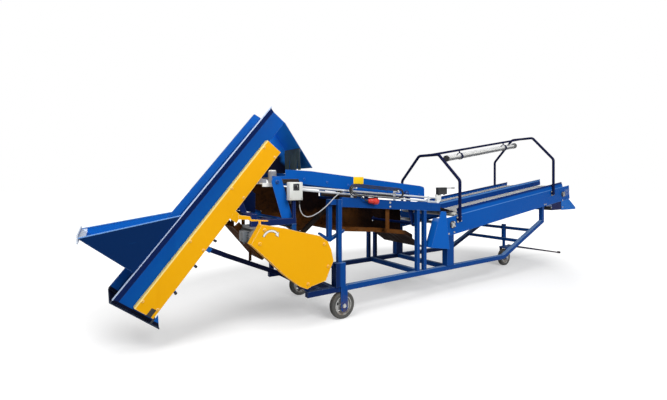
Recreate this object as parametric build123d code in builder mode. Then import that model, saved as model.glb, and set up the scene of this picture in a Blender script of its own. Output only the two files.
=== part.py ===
import os
from math import cos, hypot, radians, sin, tan

from build123d import *

os.makedirs("parts", exist_ok=True)

# Base frame, in millimetres: X along the machine, hopper at the low end, floor at Z = 0
rail_start = -1874
rail_end = 1063
rail_y = 416
rail_side = 50
rail_top = 305
rail_inner = rail_y - rail_side / 2
rail_outer = rail_y + rail_side / 2
strut_end = 2076
post_start = -1590
post_end = -1484
post_inner = 376
post_outer = 456
post_top = 520
leg_x = -1534
leg_side = 40
leg_top = 1100
leg_inner = rail_y - leg_side / 2
leg_outer = rail_y + leg_side / 2
front_rail_inner = 370
front_rail_outer = 410
front_rail_bottom = 900
front_rail_top = 950
front_rail_start = -2370
front_rail_end = -1970
beam_start = leg_x + leg_side / 2
beam_end = -175
beam_height = 90
beam_slope = -0.0723
beam_bottom_at_end = 933

# Wheels
wheel_radius = 125
wheel_half_width = 30
rim_radius = 88
axle_radius = 10
fit_gap = 0.05
front_wheel_x = -1500
steering_x = 1775
spindle_radius = 20
pivot_x = 1950
pivot_z = 278
drawbar_tip = 3503
eye_radius = 25
eye_bore_radius = 12
drawbar_side = 30

# Elevator, measured along its slope (up) and across it (down from its top edge)
slope_angle = 51.3
foot_x = -3313
foot_z = 424
elevator_top = 1918
elevator_y = 168
sheet = 4
panel_bottom = 330
drum_across = 235
drum_radius = 60
tail_along = 110
head_along = 1580
belt_gap = 0.5
belt_thickness = 6
belt_half_width = 150
cleat_height = 25
drum_shaft_radius = 17.5

# Sieve
sieve_y = 350
sieve_low_slope = -0.11326
sieve_low_z = 1237
sieve_low_x = -1848
deck_lift = 45
cross_tube_radius = 20
rocker_front_low = (-2024, 925)
rocker_front_high = (-2126, 1258)
rocker_rear_low = (-520, 807)
rocker_rear_high = (-622, 1140)
pivot_radius = 10
open_pivot_gap = 0.5
rocker_outer = 364
rocker_inner = 356
drive_tube = (-1250, 1120)

# Drive
shaft_x = -1904
shaft_z = 578
shaft_radius = 20
throw = 5
eccentric_radius = 45
motor_x = -2300
motor_z = 815
motor_radius = 80
big_pitch_radius = 175
small_pitch_radius = 43.75
belt_half_thickness = 4.5
pulley_near = 480
pulley_far = 440
side_reach = 500
guard_face = 492
guard_back = 410

# Sorting table, measured along its slope and up from the fold line of its side panels
table_angle = 7.1
fold_x = 207
fold_z = 891
table_y = 455
table_start = -309
table_end = 2620
flange_low = -211
board_rise = 76
board_lean = 15
board_start = -95
board_end = 2420
roller_radius = 24
roller_pitch = 66
roller_count = 38
roller_first = -108
roller_up = 6
roller_pin_radius = 8
table_head = (2400, -110)
table_tail = (-215, -90)

# Arches and lamp
arch_low_x = 119
arch_high_x = 2282
arch_tube_radius = 18
arch_y = table_y + arch_tube_radius
lamp_bar_radius = 15
lamp_drop = 82
lamp_radius = 42
lamp_start = 441
lamp_end = 2064

# Electrics
conduit_y = 398
conduit_radius = 9
cable_radius = 5
hank_y = 468

elevator_cos = cos(radians(slope_angle))
elevator_sin = sin(radians(slope_angle))
table_cos = cos(radians(table_angle))
table_sin = sin(radians(table_angle))


# Places and planes
def on_elevator(along, across):
    x = foot_x + along * elevator_cos + across * elevator_sin
    z = foot_z + along * elevator_sin - across * elevator_cos
    return x, z


def on_table(along, up):
    x = fold_x + along * table_cos - up * table_sin
    z = fold_z + along * table_sin + up * table_cos
    return x, z


def flange_height(x):
    along = (x - fold_x + flange_low * table_sin) / table_cos
    return on_table(along, flange_low)[1]


def beam_bottom(x):
    return beam_bottom_at_end + beam_slope * (x - beam_end)


def sieve_low(x):
    return sieve_low_z + sieve_low_slope * (x - sieve_low_x)


def side_plane(y):
    return Plane(origin=(0, y, 0), x_dir=(1, 0, 0), z_dir=(0, -1, 0))


def elevator_plane(y):
    return Plane(origin=(foot_x, y, foot_z), x_dir=(elevator_cos, 0, elevator_sin), z_dir=(0, -1, 0))


def table_plane(y):
    return Plane(origin=(fold_x, y, fold_z), x_dir=(table_cos, 0, table_sin), z_dir=(0, -1, 0))


# Shapes added to the part that is open
def side_plate(points, y_far, y_near, mode=Mode.ADD):
    with BuildSketch(side_plane(y_far)) as outline:
        Polygon(*points, align=None)
    extrude(outline.sketch, amount=y_far - y_near, dir=(0, -1, 0), mode=mode)


def elevator_plate(points, y_far, y_near, mode=Mode.ADD):
    with BuildSketch(elevator_plane(y_far)) as outline:
        Polygon(*[(along, -across) for along, across in points], align=None)
    extrude(outline.sketch, amount=y_far - y_near, dir=(0, -1, 0), mode=mode)


def table_plate(points, y_far, y_near, mode=Mode.ADD):
    with BuildSketch(table_plane(y_far)) as outline:
        Polygon(*points, align=None)
    extrude(outline.sketch, amount=y_far - y_near, dir=(0, -1, 0), mode=mode)


def block(x_low, x_high, y_low, y_high, z_low, z_high, mode=Mode.ADD):
    with Locations(((x_low + x_high) / 2, (y_low + y_high) / 2, (z_low + z_high) / 2)):
        Box(x_high - x_low, y_high - y_low, z_high - z_low, mode=mode)


def cross_rod(place, radius, y_far, y_near, mode=Mode.ADD):
    with BuildSketch(side_plane(y_far)) as disc:
        with Locations(place):
            Circle(radius)
    extrude(disc.sketch, amount=y_far - y_near, dir=(0, -1, 0), mode=mode)


def rod(start, end, radius, mode=Mode.ADD):
    run = Vector(*end) - Vector(*start)
    with BuildSketch(Plane(origin=start, z_dir=run)) as disc:
        Circle(radius)
    extrude(disc.sketch, amount=run.length, dir=run, mode=mode)


def bar(start, end, across, height):
    run = Vector(*end) - Vector(*start)
    with BuildSketch(Plane(origin=start, x_dir=(0, 1, 0), z_dir=run)) as section:
        Rectangle(across, height)
    extrude(section.sketch, amount=run.length, dir=run)


def save(builder, name):
    builder.part.label = name
    export_step(builder.part, f"parts/{name}.step")


# Base: two rails and four cross bars
front_bar_x = -1735
with BuildPart() as base_frame:
    block(rail_start, rail_end, -rail_outer, -rail_inner, rail_top - rail_side, rail_top)
    block(rail_start, rail_end, rail_inner, rail_outer, rail_top - rail_side, rail_top)
    for crossbar_x in (front_bar_x, -1600, -467, -18):
        block(crossbar_x - 25, crossbar_x + 25, -rail_inner, rail_inner, rail_top - rail_side, rail_top)
save(base_frame, "base_frame")

# Slanted struts from the rails up to the table, with an upright at the end of each
strut_rise = (strut_end - rail_end) * 0.4156
upright_start = strut_end - rail_side
strut_outline = [
    (rail_end, rail_top - rail_side),
    (strut_end, rail_top - rail_side + strut_rise),
    (strut_end, flange_height(strut_end)),
    (upright_start, flange_height(upright_start)),
    (upright_start, rail_top + strut_rise * (upright_start - rail_end) / (strut_end - rail_end)),
    (rail_end, rail_top),
]
with BuildPart() as tail_struts:
    side_plate(strut_outline, -rail_inner, -rail_outer)
    mirror(about=Plane.XZ)
save(tail_struts, "tail_struts")

# Front posts with tall legs, the beams that carry the eccentric shaft, short posts under the front rails,
# hanging legs, and the forks of the front wheels
bearing_beam_start = -2010
bearing_beam_top = 530
bearing_beam_bottom = 480
hanger_inner = 330
hanger_top = 1100
hanger = [
    (-1620, hanger_top),
    (-1580, hanger_top),
    (-1580, 746),
    (-1440, 811),
    (-1440, 787),
    (-1600, 707),
    (-1712, 785),
    (-1700, 800),
    (-1620, 750),
]
fork_plate = 6
fork_half = 37.5
with BuildPart() as front_legs:
    block(post_start, post_end, -post_outer, -post_inner, rail_top, post_top)
    block(leg_x - leg_side / 2, leg_x + leg_side / 2, -leg_outer, -leg_inner, post_top, leg_top)
    block(bearing_beam_start, post_start, -front_rail_outer, -front_rail_inner,
          bearing_beam_bottom, bearing_beam_top)
    block(rail_start, rail_start + leg_side, -front_rail_outer, -front_rail_inner,
          rail_top, bearing_beam_bottom)
    block(bearing_beam_start, front_rail_end, -front_rail_outer, -front_rail_inner,
          bearing_beam_top, front_rail_bottom)
    side_plate(hanger, -hanger_inner, -front_rail_inner)
    block(-1620, leg_x - leg_side / 2, -front_rail_outer, -front_rail_inner, hanger_top - 50, hanger_top)
    for plate_near in (-post_outer, -post_inner - fork_plate):
        block(front_wheel_x - fork_half, front_wheel_x + fork_half, plate_near, plate_near + fork_plate,
              wheel_radius - 20, rail_top)
        cross_rod((front_wheel_x, wheel_radius - 20), fork_half, plate_near + fork_plate, plate_near)
    cross_rod((front_wheel_x, wheel_radius), axle_radius, -post_inner + 6, -post_outer - 6)
    mirror(about=Plane.XZ)
save(front_legs, "front_legs")

# Front frame: rails, cross tube and gussets under the elevator, the far one grown into a throat plate, knee
# plates, rocker pins and switch post
cross_tube_end = front_rail_start + 50
cross_tube_top = front_rail_top + 50
gusset_thickness = 6
gusset = [
    (front_rail_start, cross_tube_top),
    (cross_tube_end, cross_tube_top),
    on_elevator(1140, 300),
    on_elevator(1080, 300),
]
knee_thickness = 8
knee = [
    (cross_tube_end - 30, -150),
    (cross_tube_end - 30, -200),
    (-2200, -front_rail_inner),
    (-2150, -front_rail_inner),
]
box_post_start = -2000
box_post_end = -1974
box_post_inner = 385
box_bottom = 1104
throat_plate = [
    (front_rail_start, cross_tube_top),
    (cross_tube_end, cross_tube_top),
    (-2120, 962),
    (-2120, 1150),
    on_elevator(1290, 310),
    on_elevator(1080, 300),
]
with BuildPart() as front_frame:
    block(front_rail_start, front_rail_end, -front_rail_outer, -front_rail_inner,
          front_rail_bottom, front_rail_top)
    side_plate(gusset, -elevator_y + sheet + gusset_thickness, -elevator_y + sheet)
    with BuildSketch(Plane.XY.offset(front_rail_top)) as knee_outline:
        Polygon(*knee, align=None)
    extrude(knee_outline.sketch, amount=knee_thickness, dir=(0, 0, -1))
    cross_rod(rocker_front_low, pivot_radius, -rocker_inner + 4, -front_rail_inner)
    mirror(about=Plane.XZ)
    block(box_post_start, box_post_end, -front_rail_outer, -box_post_inner, front_rail_top, box_bottom)
    block(front_rail_start, cross_tube_end, -front_rail_outer, front_rail_outer,
          front_rail_top, cross_tube_top)
    side_plate(throat_plate, elevator_y - sheet, elevator_y - sheet - gusset_thickness)
save(front_frame, "front_frame")

# Twin legs under the sieve beams, with the pins of the rear rockers, and the posts under the table
twin_legs = (-520, -415)
rear_post_start = -75
rear_post_end = 40
with BuildPart() as rear_legs:
    for twin_x in twin_legs:
        twin_outline = [
            (twin_x - 20, rail_top),
            (twin_x + 20, rail_top),
            (twin_x + 20, beam_bottom(twin_x + 20)),
            (twin_x - 20, beam_bottom(twin_x - 20)),
        ]
        side_plate(twin_outline, -leg_inner, -leg_outer)
    cross_rod(rocker_rear_low, pivot_radius, -rocker_inner + 4, -leg_inner)
    rear_outline = [
        (rear_post_start, rail_top),
        (rear_post_end, rail_top),
        (rear_post_end, flange_height(rear_post_end)),
        (rear_post_start, flange_height(rear_post_start)),
    ]
    side_plate(rear_outline, -380, -table_y + sheet)
    mirror(about=Plane.XZ)
save(rear_legs, "rear_legs")

# Long beams under the sieve
with BuildPart() as sieve_beams:
    beam_outline = [
        (beam_start, beam_bottom(beam_start)),
        (beam_end, beam_bottom(beam_end)),
        (beam_end, beam_bottom(beam_end) + beam_height),
        (beam_start, beam_bottom(beam_start) + beam_height),
    ]
    side_plate(beam_outline, -leg_inner, -leg_outer)
    mirror(about=Plane.XZ)
save(sieve_beams, "sieve_beams")

# Telescopic brace from the elevator to the front cross bar
brace_along = 646
brace_beam_low = panel_bottom + 40
brace_top = on_elevator(brace_along, brace_beam_low + 4.5)
brace_foot = (-1846, 345)
nose_plate = [
    (-1870, 338),
    (-1850, 370),
    (-1810, 352),
    (front_bar_x + 25, rail_top),
    (front_bar_x - 25, rail_top),
]
with BuildPart() as elevator_brace:
    for bar_y in (-25, 25):
        bar((brace_top[0], bar_y, brace_top[1]), (-2440, bar_y, 610), 10, 40)
    bar((-2480, 0, 628), (brace_foot[0], 0, brace_foot[1]), 40, 40)
    for plate_y in (-20, 26):
        side_plate(nose_plate, plate_y, plate_y - 6)
save(elevator_brace, "elevator_brace")

# Bearings: four on the elevator drums, two under the eccentric shaft, four on the table shafts
flange_radius = 40
flange_depth = 18
pillow_half = 60
pillow_foot = 16
pillow_radius = 44
with BuildPart() as bearing_units:
    for drum_along in (tail_along, head_along):
        drum_place = on_elevator(drum_along, drum_across)
        flange_near = -elevator_y - flange_depth
        cross_rod(drum_place, flange_radius, -elevator_y, flange_near)
        cross_rod(drum_place, drum_shaft_radius + fit_gap, -elevator_y, flange_near, Mode.SUBTRACT)
    for table_place in (on_table(*table_head), on_table(*table_tail)):
        flange_near = -table_y - flange_depth
        cross_rod(table_place, flange_radius, -table_y, flange_near)
        cross_rod(table_place, shaft_radius + fit_gap, -table_y, flange_near, Mode.SUBTRACT)
    pillow_place = (shaft_x, shaft_z)
    block(shaft_x - pillow_half, shaft_x + pillow_half, -front_rail_outer, -front_rail_inner,
          bearing_beam_top, bearing_beam_top + pillow_foot)
    cross_rod(pillow_place, pillow_radius, -front_rail_inner, -front_rail_outer)
    cross_rod(pillow_place, shaft_radius + fit_gap, -front_rail_inner, -front_rail_outer, Mode.SUBTRACT)
    mirror(about=Plane.XZ)
save(bearing_units, "bearing_units")


# Wheels: a hub with a web, round holes and a bushed boss, and a plain tyre
def hub_shape(x, y, boss_half):
    web_half = 6
    cross_rod((x, wheel_radius), rim_radius, y + web_half, y - web_half)
    cross_rod((x, wheel_radius), rim_radius, y + wheel_half_width - 4, y - wheel_half_width + 4)
    cross_rod((x, wheel_radius), rim_radius - 8, y + wheel_half_width, y + web_half, Mode.SUBTRACT)
    cross_rod((x, wheel_radius), rim_radius - 8, y - web_half, y - wheel_half_width, Mode.SUBTRACT)
    cross_rod((x, wheel_radius), 24, y + boss_half, y - boss_half)
    cross_rod((x, wheel_radius), axle_radius + fit_gap, y + boss_half, y - boss_half, Mode.SUBTRACT)
    for hole_turn in range(5):
        hole_x = x + 54 * cos(radians(72 * hole_turn + 18))
        hole_z = wheel_radius + 54 * sin(radians(72 * hole_turn + 18))
        cross_rod((hole_x, hole_z), 14, y + web_half, y - web_half, Mode.SUBTRACT)


def tyre_shape(x, y):
    shoulder = 10
    crown = wheel_radius
    with BuildSketch(Plane(origin=(x, y, wheel_radius), x_dir=(0, 1, 0), z_dir=(1, 0, 0))) as tread:
        Polygon(
            (-wheel_half_width + 4, rim_radius),
            (wheel_half_width - 4, rim_radius),
            (wheel_half_width, crown - shoulder),
            (wheel_half_width - shoulder, crown),
            (-wheel_half_width + shoulder, crown),
            (-wheel_half_width, crown - shoulder),
            align=None,
        )
    revolve(tread.sketch, axis=Axis((x, y, wheel_radius), (0, 1, 0)))


with BuildPart() as wheel_hub_near:
    hub_shape(front_wheel_x, -rail_y, 33)
save(wheel_hub_near, "wheel_hub_near")

with BuildPart() as tyre_near:
    tyre_shape(front_wheel_x, -rail_y)
save(tyre_near, "tyre_near")

with BuildPart() as wheel_hub_far:
    hub_shape(front_wheel_x, rail_y, 33)
save(wheel_hub_far, "wheel_hub_far")

with BuildPart() as tyre_far:
    tyre_shape(front_wheel_x, rail_y)
save(tyre_far, "tyre_far")

with BuildPart() as swivel_hub:
    hub_shape(steering_x, 0, 42)
save(swivel_hub, "swivel_hub")

with BuildPart() as swivel_tyre:
    tyre_shape(steering_x, 0)
save(swivel_tyre, "swivel_tyre")

# Steering head: upright tube on two cross bars between the struts
head_bottom = 380
head_top = 611
head_radius = 32
with BuildPart() as steering_head:
    rod((steering_x, 0, head_bottom), (steering_x, 0, head_top), head_radius)
    block(steering_x - 20, steering_x + 20, -rail_inner, rail_inner, 555, 595)
    block(1450, 1490, -rail_inner, rail_inner, 430, 470)
    bar((1480, 0, 450), (steering_x - 15, 0, 410), 40, 30)
    rod((steering_x, 0, head_bottom), (steering_x, 0, head_top), spindle_radius + fit_gap, Mode.SUBTRACT)
save(steering_head, "steering_head")

# Swivel fork: spindle with a cap, crown, two legs, axle and the lugs of the drawbar
crown_bottom = 262
crown_top = 285
crown_half = 50
crown_front = 1930
lug_pin_radius = 8
with BuildPart() as steering_fork:
    rod((steering_x, 0, crown_bottom), (steering_x, 0, head_top + 14), spindle_radius)
    rod((steering_x, 0, head_top + 0.5), (steering_x, 0, head_top + 14), head_radius)
    block(steering_x - 40, crown_front, -crown_half, crown_half, crown_bottom, crown_top)
    for leg_y in (-crown_half, crown_half - 6):
        block(steering_x - 30, steering_x + 30, leg_y, leg_y + 6, wheel_radius, crown_top)
        cross_rod((steering_x, wheel_radius), 30, leg_y + 6, leg_y)
    cross_rod((steering_x, wheel_radius), axle_radius, crown_half + 8, -crown_half - 8)
    for lug_y in (-30, 22):
        block(crown_front - 4, pivot_x, lug_y, lug_y + 8, crown_bottom, pivot_z + 16)
        cross_rod((pivot_x, pivot_z), 16, lug_y + 8, lug_y)
    cross_rod((pivot_x, pivot_z), lug_pin_radius, 34, -34)
save(steering_fork, "steering_fork")

# Drawbar with a cross eye at the fork and an upright eye at its tip
eye_x = drawbar_tip - eye_radius
half_bar = drawbar_side / 2
with BuildPart() as drawbar:
    side_plate(
        [
            (pivot_x, pivot_z - half_bar),
            (eye_x, 0),
            (eye_x, drawbar_side),
            (eye_x - 2 * eye_radius, drawbar_side),
            (pivot_x, pivot_z + half_bar),
        ],
        half_bar,
        -half_bar,
    )
    cross_rod((pivot_x, pivot_z), 18, 21.5, -21.5)
    rod((eye_x, 0, 0), (eye_x, 0, drawbar_side), eye_radius)
    rod((eye_x, 0, 0), (eye_x, 0, 2 * drawbar_side), eye_bore_radius, Mode.SUBTRACT)
    cross_rod((pivot_x, pivot_z), lug_pin_radius + fit_gap, 21.5, -21.5, Mode.SUBTRACT)
save(drawbar, "drawbar")

# Elevator side panels: flat web, leaning board and flange, cut back where the hood starts
hood_start = 1668
hood_across = 191
web_top = 54
board_out = 28
flange_out = 60
panel_section = [
    (-elevator_y, -panel_bottom),
    (-elevator_y, -web_top),
    (-elevator_y - board_out, -sheet),
    (-elevator_y - flange_out, -sheet),
    (-elevator_y - flange_out, 0),
    (-elevator_y - board_out + 2.5, 0),
    (-elevator_y + sheet, -web_top),
    (-elevator_y + sheet, -panel_bottom),
]
panel_start = -10
start_x, start_z = on_elevator(panel_start, 0)
slope_way = (elevator_cos, 0, elevator_sin)
panel_end_plane = Plane(origin=(start_x, 0, start_z), x_dir=(0, 1, 0), z_dir=slope_way)
with BuildPart() as elevator_sides:
    with BuildSketch(panel_end_plane) as panel_outline:
        Polygon(*panel_section, align=None)
    extrude(panel_outline.sketch, amount=elevator_top - panel_start, dir=slope_way)
    elevator_plate(
        [
            (hood_start, hood_across),
            (elevator_top + 10, hood_across),
            (elevator_top + 10, panel_bottom + 10),
            (hood_start, panel_bottom + 10),
        ],
        -elevator_y + 10,
        -elevator_y - 10,
        Mode.SUBTRACT,
    )
    for drum_along in (tail_along, head_along):
        drum_place = on_elevator(drum_along, drum_across)
        cross_rod(drum_place, drum_shaft_radius + 2, -elevator_y + 10, -elevator_y - 10, Mode.SUBTRACT)
    mirror(about=Plane.XZ)
save(elevator_sides, "elevator_sides")

# Pieces that span the elevator: slider bed, foot plate with gussets, tie rods and brace beam
bed_top = drum_across - drum_radius - belt_gap + 1
with BuildPart() as elevator_cross_plates:
    elevator_plate(
        [
            (tail_along + 70, bed_top),
            (head_along - 70, bed_top),
            (head_along - 70, bed_top + 3),
            (tail_along + 70, bed_top + 3),
        ],
        elevator_y - sheet,
        -elevator_y + sheet,
    )
    elevator_plate([(-16, 0), (panel_start, 0), (panel_start, 406), (-16, 406)], 200, -200)
    for gusset_y in (-174, 180):
        elevator_plate([(panel_start, 340), (60, 340), (panel_start, 404)], gusset_y, gusset_y - 6)
    for tie_along in (251, 487, 729):
        cross_rod(on_elevator(tie_along, panel_bottom + 10), 10, 200, -200)
    elevator_plate(
        [
            (brace_along - 20, panel_bottom),
            (brace_along + 20, panel_bottom),
            (brace_along + 20, brace_beam_low),
            (brace_along - 20, brace_beam_low),
        ],
        elevator_y,
        -elevator_y,
    )
save(elevator_cross_plates, "elevator_cross_plates")

# Elevator belt: one loop round both drums, with cleats
belt_inner = drum_radius + belt_gap
belt_outer = belt_inner + belt_thickness
belt_run = head_along - tail_along
cleat_pitch = 147
with BuildPart() as elevator_belt:
    with BuildSketch(elevator_plane(belt_half_width)) as belt_loop:
        with Locations(((tail_along + head_along) / 2, -drum_across)):
            SlotCenterToCenter(belt_run, 2 * belt_outer)
        for cleat in range(1, 10):
            cleat_along = tail_along + cleat * cleat_pitch
            for cleat_side in (-1, 1):
                cleat_middle = -drum_across + cleat_side * (belt_outer + cleat_height / 2 - 1)
                with Locations((cleat_along, cleat_middle)):
                    Rectangle(6, cleat_height)
        with Locations(((tail_along + head_along) / 2, -drum_across)):
            SlotCenterToCenter(belt_run, 2 * belt_inner, mode=Mode.SUBTRACT)
    extrude(belt_loop.sketch, amount=2 * belt_half_width, dir=(0, -1, 0))
save(elevator_belt, "elevator_belt")


# Drums on their shafts; the head shaft carries a sprocket under the near guard
def drum_shape(along, shaft_reach):
    place = on_elevator(along, drum_across)
    cross_rod(place, drum_radius, belt_half_width, -belt_half_width)
    cross_rod(place, drum_shaft_radius, shaft_reach, -shaft_reach)


with BuildPart() as head_drum:
    drum_shape(head_along, 200)
    cross_rod(on_elevator(head_along, drum_across), 52, -190, -198)
save(head_drum, "head_drum")

with BuildPart() as tail_drum:
    drum_shape(tail_along, 190)
save(tail_drum, "tail_drum")

# Yellow side guards: shallow trays over the bearings and the drive, each with a fixing lug below
guard_low = 32
guard_high = 1660
guard_top_edge = 156
guard_bottom_edge = 315
guard_depth = 57
guard_wall = 3
guard_lug = [
    (935, guard_bottom_edge - guard_wall),
    (1015, guard_bottom_edge - guard_wall),
    (1008, guard_bottom_edge + 60),
    (937, guard_bottom_edge + 68),
]
with BuildPart() as elevator_guards:
    elevator_plate(
        [
            (guard_low, guard_top_edge),
            (guard_high, guard_top_edge),
            (guard_high, guard_bottom_edge),
            (guard_low, guard_bottom_edge),
        ],
        -elevator_y,
        -elevator_y - guard_depth,
    )
    elevator_plate(
        [
            (guard_low + guard_wall, guard_top_edge + guard_wall),
            (guard_high - guard_wall, guard_top_edge + guard_wall),
            (guard_high - guard_wall, guard_bottom_edge - guard_wall),
            (guard_low + guard_wall, guard_bottom_edge - guard_wall),
        ],
        -elevator_y,
        -elevator_y - guard_depth + guard_wall,
        Mode.SUBTRACT,
    )
    elevator_plate(
        guard_lug,
        -elevator_y - guard_depth + guard_wall,
        -elevator_y - guard_depth,
    )
    mirror(about=Plane.XZ)
save(elevator_guards, "elevator_guards")

# Hopper floor with its folded lip; the floor runs on down between the elevator panels
lip_x = -3495
lip_z = 890
lip_half = 300
floor_end_x = -3071
floor_end_z = 515
floor_length = hypot(floor_end_x - lip_x, floor_end_z - lip_z)
floor_way = ((floor_end_x - lip_x) / floor_length, (floor_end_z - lip_z) / floor_length)
mouth_distance = 432
mouth_half = 205
apron_half = 160
floor_outline = [
    (0, -lip_half),
    (mouth_distance, -mouth_half),
    (mouth_distance + 1, -apron_half),
    (floor_length, -apron_half),
    (floor_length, apron_half),
    (mouth_distance + 1, apron_half),
    (mouth_distance, mouth_half),
    (0, lip_half),
]
floor_normal = (floor_way[1], 0, -floor_way[0])
floor_plane = Plane(origin=(lip_x, 0, lip_z), x_dir=(floor_way[0], 0, floor_way[1]), z_dir=floor_normal)
with BuildPart() as hopper_floor:
    with BuildSketch(floor_plane) as floor_sheet:
        Polygon(*floor_outline, align=None)
    extrude(floor_sheet.sketch, amount=3, dir=floor_normal)
    block(-drawbar_tip, lip_x + 0.5, -lip_half, lip_half, 852, 911)
save(hopper_floor, "hopper_floor")

# Flared hopper sides, each standing on the flange of an elevator panel
rim_x, rim_z = on_elevator(736, -1)
mouth_x = lip_x + floor_way[0] * mouth_distance
mouth_z = lip_z + floor_way[1] * mouth_distance
side_lip = Vector(lip_x, -lip_half, lip_z)
side_rim = Vector(rim_x, -mouth_half, rim_z)
side_mouth = Vector(mouth_x, -mouth_half, mouth_z)
side_normal = (side_rim - side_lip).cross(side_mouth - side_lip)
if side_normal.Y > 0:
    side_normal = side_normal * -1
side_sheet_plane = Plane(origin=side_lip, x_dir=side_rim - side_lip, z_dir=side_normal)
with BuildPart() as hopper_sides:
    with BuildSketch(side_sheet_plane) as side_sheet:
        corners = [side_sheet_plane.to_local_coords(corner) for corner in (side_lip, side_rim, side_mouth)]
        Polygon(*[(corner.X, corner.Y) for corner in corners], align=None)
    extrude(side_sheet.sketch, amount=3, dir=side_normal)
    mirror(about=Plane.XZ)
save(hopper_sides, "hopper_sides")

# Discharge hood at the top of the elevator: sloping cover and far cheek, open on the near side, with a rubber
# curtain that hangs in it
hood_top = on_elevator(elevator_top, hood_across)
hood_tip = (-1674, 1394)
hood_run = hypot(hood_tip[0] - hood_top[0], hood_tip[1] - hood_top[1])
hood_out = ((hood_top[1] - hood_tip[1]) / hood_run * 3, (hood_tip[0] - hood_top[0]) / hood_run * 3)
hood_side = [
    hood_top,
    hood_tip,
    (-1690, 1384),
    (-1725, 1346),
    (-2050, 1346),
    on_elevator(1560, panel_bottom + 12),
    on_elevator(hood_start, panel_bottom + 12),
    on_elevator(hood_start, hood_across),
]
hood_cover = [
    hood_top,
    (hood_top[0] + hood_out[0], hood_top[1] + hood_out[1]),
    (hood_tip[0] + hood_out[0], hood_tip[1] + hood_out[1]),
    hood_tip,
]
with BuildPart() as hood:
    side_plate(hood_side, elevator_y, elevator_y - sheet)
    side_plate(hood_cover, elevator_y, -elevator_y)
save(hood, "hood")

curtain_x = -1805
curtain_thickness = 4
curtain_bottom = 1374
hood_slope = (hood_tip[1] - hood_top[1]) / (hood_tip[0] - hood_top[0])
curtain_top = hood_top[1] + (curtain_x - hood_top[0]) * hood_slope
with BuildPart() as hood_curtain:
    block(curtain_x - curtain_thickness, curtain_x, -elevator_y + sheet, elevator_y - sheet,
          curtain_bottom, curtain_top)
save(hood_curtain, "hood_curtain")

# Gear motors: one standing on an angle bracket under the elevator, one inside the table against the far panel
bracket_left = -2231
bracket_right = -2080
bracket_top = 1250
bracket_front = 300
bracket_back = 200
small_motor_x = -2126
small_motor_y = 262
table_motor = on_table(2250, -125)
with BuildPart() as gear_motors:
    side_plate(
        [
            on_elevator(1300, panel_bottom - 14),
            (bracket_right, bracket_top - 6),
            (bracket_right, bracket_top),
            (-2160, bracket_top),
            on_elevator(1380, panel_bottom - 14),
        ],
        -elevator_y,
        -bracket_back,
    )
    block(bracket_left, bracket_right, -bracket_front, -bracket_back, bracket_top - 6, bracket_top)
    block(bracket_left, bracket_right, -bracket_front, -bracket_front + 6, bracket_top - 32, bracket_top)
    block(bracket_left, bracket_left + 35, -bracket_front, -bracket_front + 6, bracket_top, bracket_top + 34)
    rod((small_motor_x, -small_motor_y, bracket_top), (small_motor_x, -small_motor_y, 1352), 34)
    rod((small_motor_x, -small_motor_y, 1352), (small_motor_x, -small_motor_y, 1361), 27)
    cross_rod(table_motor, 60, table_y - sheet, 200)
    cross_rod(table_motor, 45, 200, 180)
save(gear_motors, "gear_motors")

# Sieve side panels: each ends in an arm with a lug for the front rocker, and has a lug for the drive tube
sieve_outline = [
    (-2152, 1236),
    (-2165, 1256),
    (-2165, 1308),
    (-2043, 1310),
    (-2043, 1366),
    (-1797, 1357),
    (-400, 1217),
    (-352, 1205),
    (-336, 1185),
    (-336, sieve_low(-336)),
    (-1898, sieve_low(-1898)),
    (-1918, 1285),
    (-2095, 1283),
    (-2100, 1236),
]
drive_lug = [(-1290, 1185), (-1210, 1176), (-1222, 1092), (-1278, 1092)]
with BuildPart() as sieve_sides:
    side_plate(sieve_outline, -sieve_y + sheet, -sieve_y)
    side_plate(drive_lug, -sieve_y + sheet, -sieve_y)
    cross_rod(rocker_front_high, pivot_radius, -sieve_y, -rocker_outer - 4)
    cross_rod(rocker_rear_high, pivot_radius, -sieve_y, -rocker_outer - 4)
    mirror(about=Plane.XZ)
save(sieve_sides, "sieve_sides")

# Screen with square holes
deck_start = -2030
deck_end = -340
deck_length = hypot(deck_end - deck_start, sieve_low(deck_end) - sieve_low(deck_start))
deck_middle = (deck_start + deck_end) / 2
deck_plane = Plane(
    origin=(deck_middle, 0, sieve_low(deck_middle) + deck_lift),
    x_dir=(1, 0, sieve_low_slope),
    z_dir=(-sieve_low_slope, 0, 1),
)
hole_side = 46
hole_pitch = 64
with BuildPart() as sieve_screen:
    with BuildSketch(deck_plane) as deck:
        Rectangle(deck_length, 2 * (sieve_y - sheet))
        with GridLocations(hole_pitch, hole_pitch, 25, 10):
            Rectangle(hole_side, hole_side, mode=Mode.SUBTRACT)
    extrude(deck.sketch, amount=3, dir=(-sieve_low_slope, 0, 1))
save(sieve_screen, "sieve_screen")

# Cross tubes of the sieve, and the drive tube that the connecting rod reaches
tube_drop = cross_tube_radius * hypot(1, sieve_low_slope)
with BuildPart() as sieve_crossbars:
    for tube_x in (-1870, -850, -400):
        cross_rod((tube_x, sieve_low(tube_x) + deck_lift - tube_drop), cross_tube_radius, 346, -346)
    cross_rod(drive_tube, cross_tube_radius, 346, -346)
save(sieve_crossbars, "sieve_crossbars")


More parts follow.
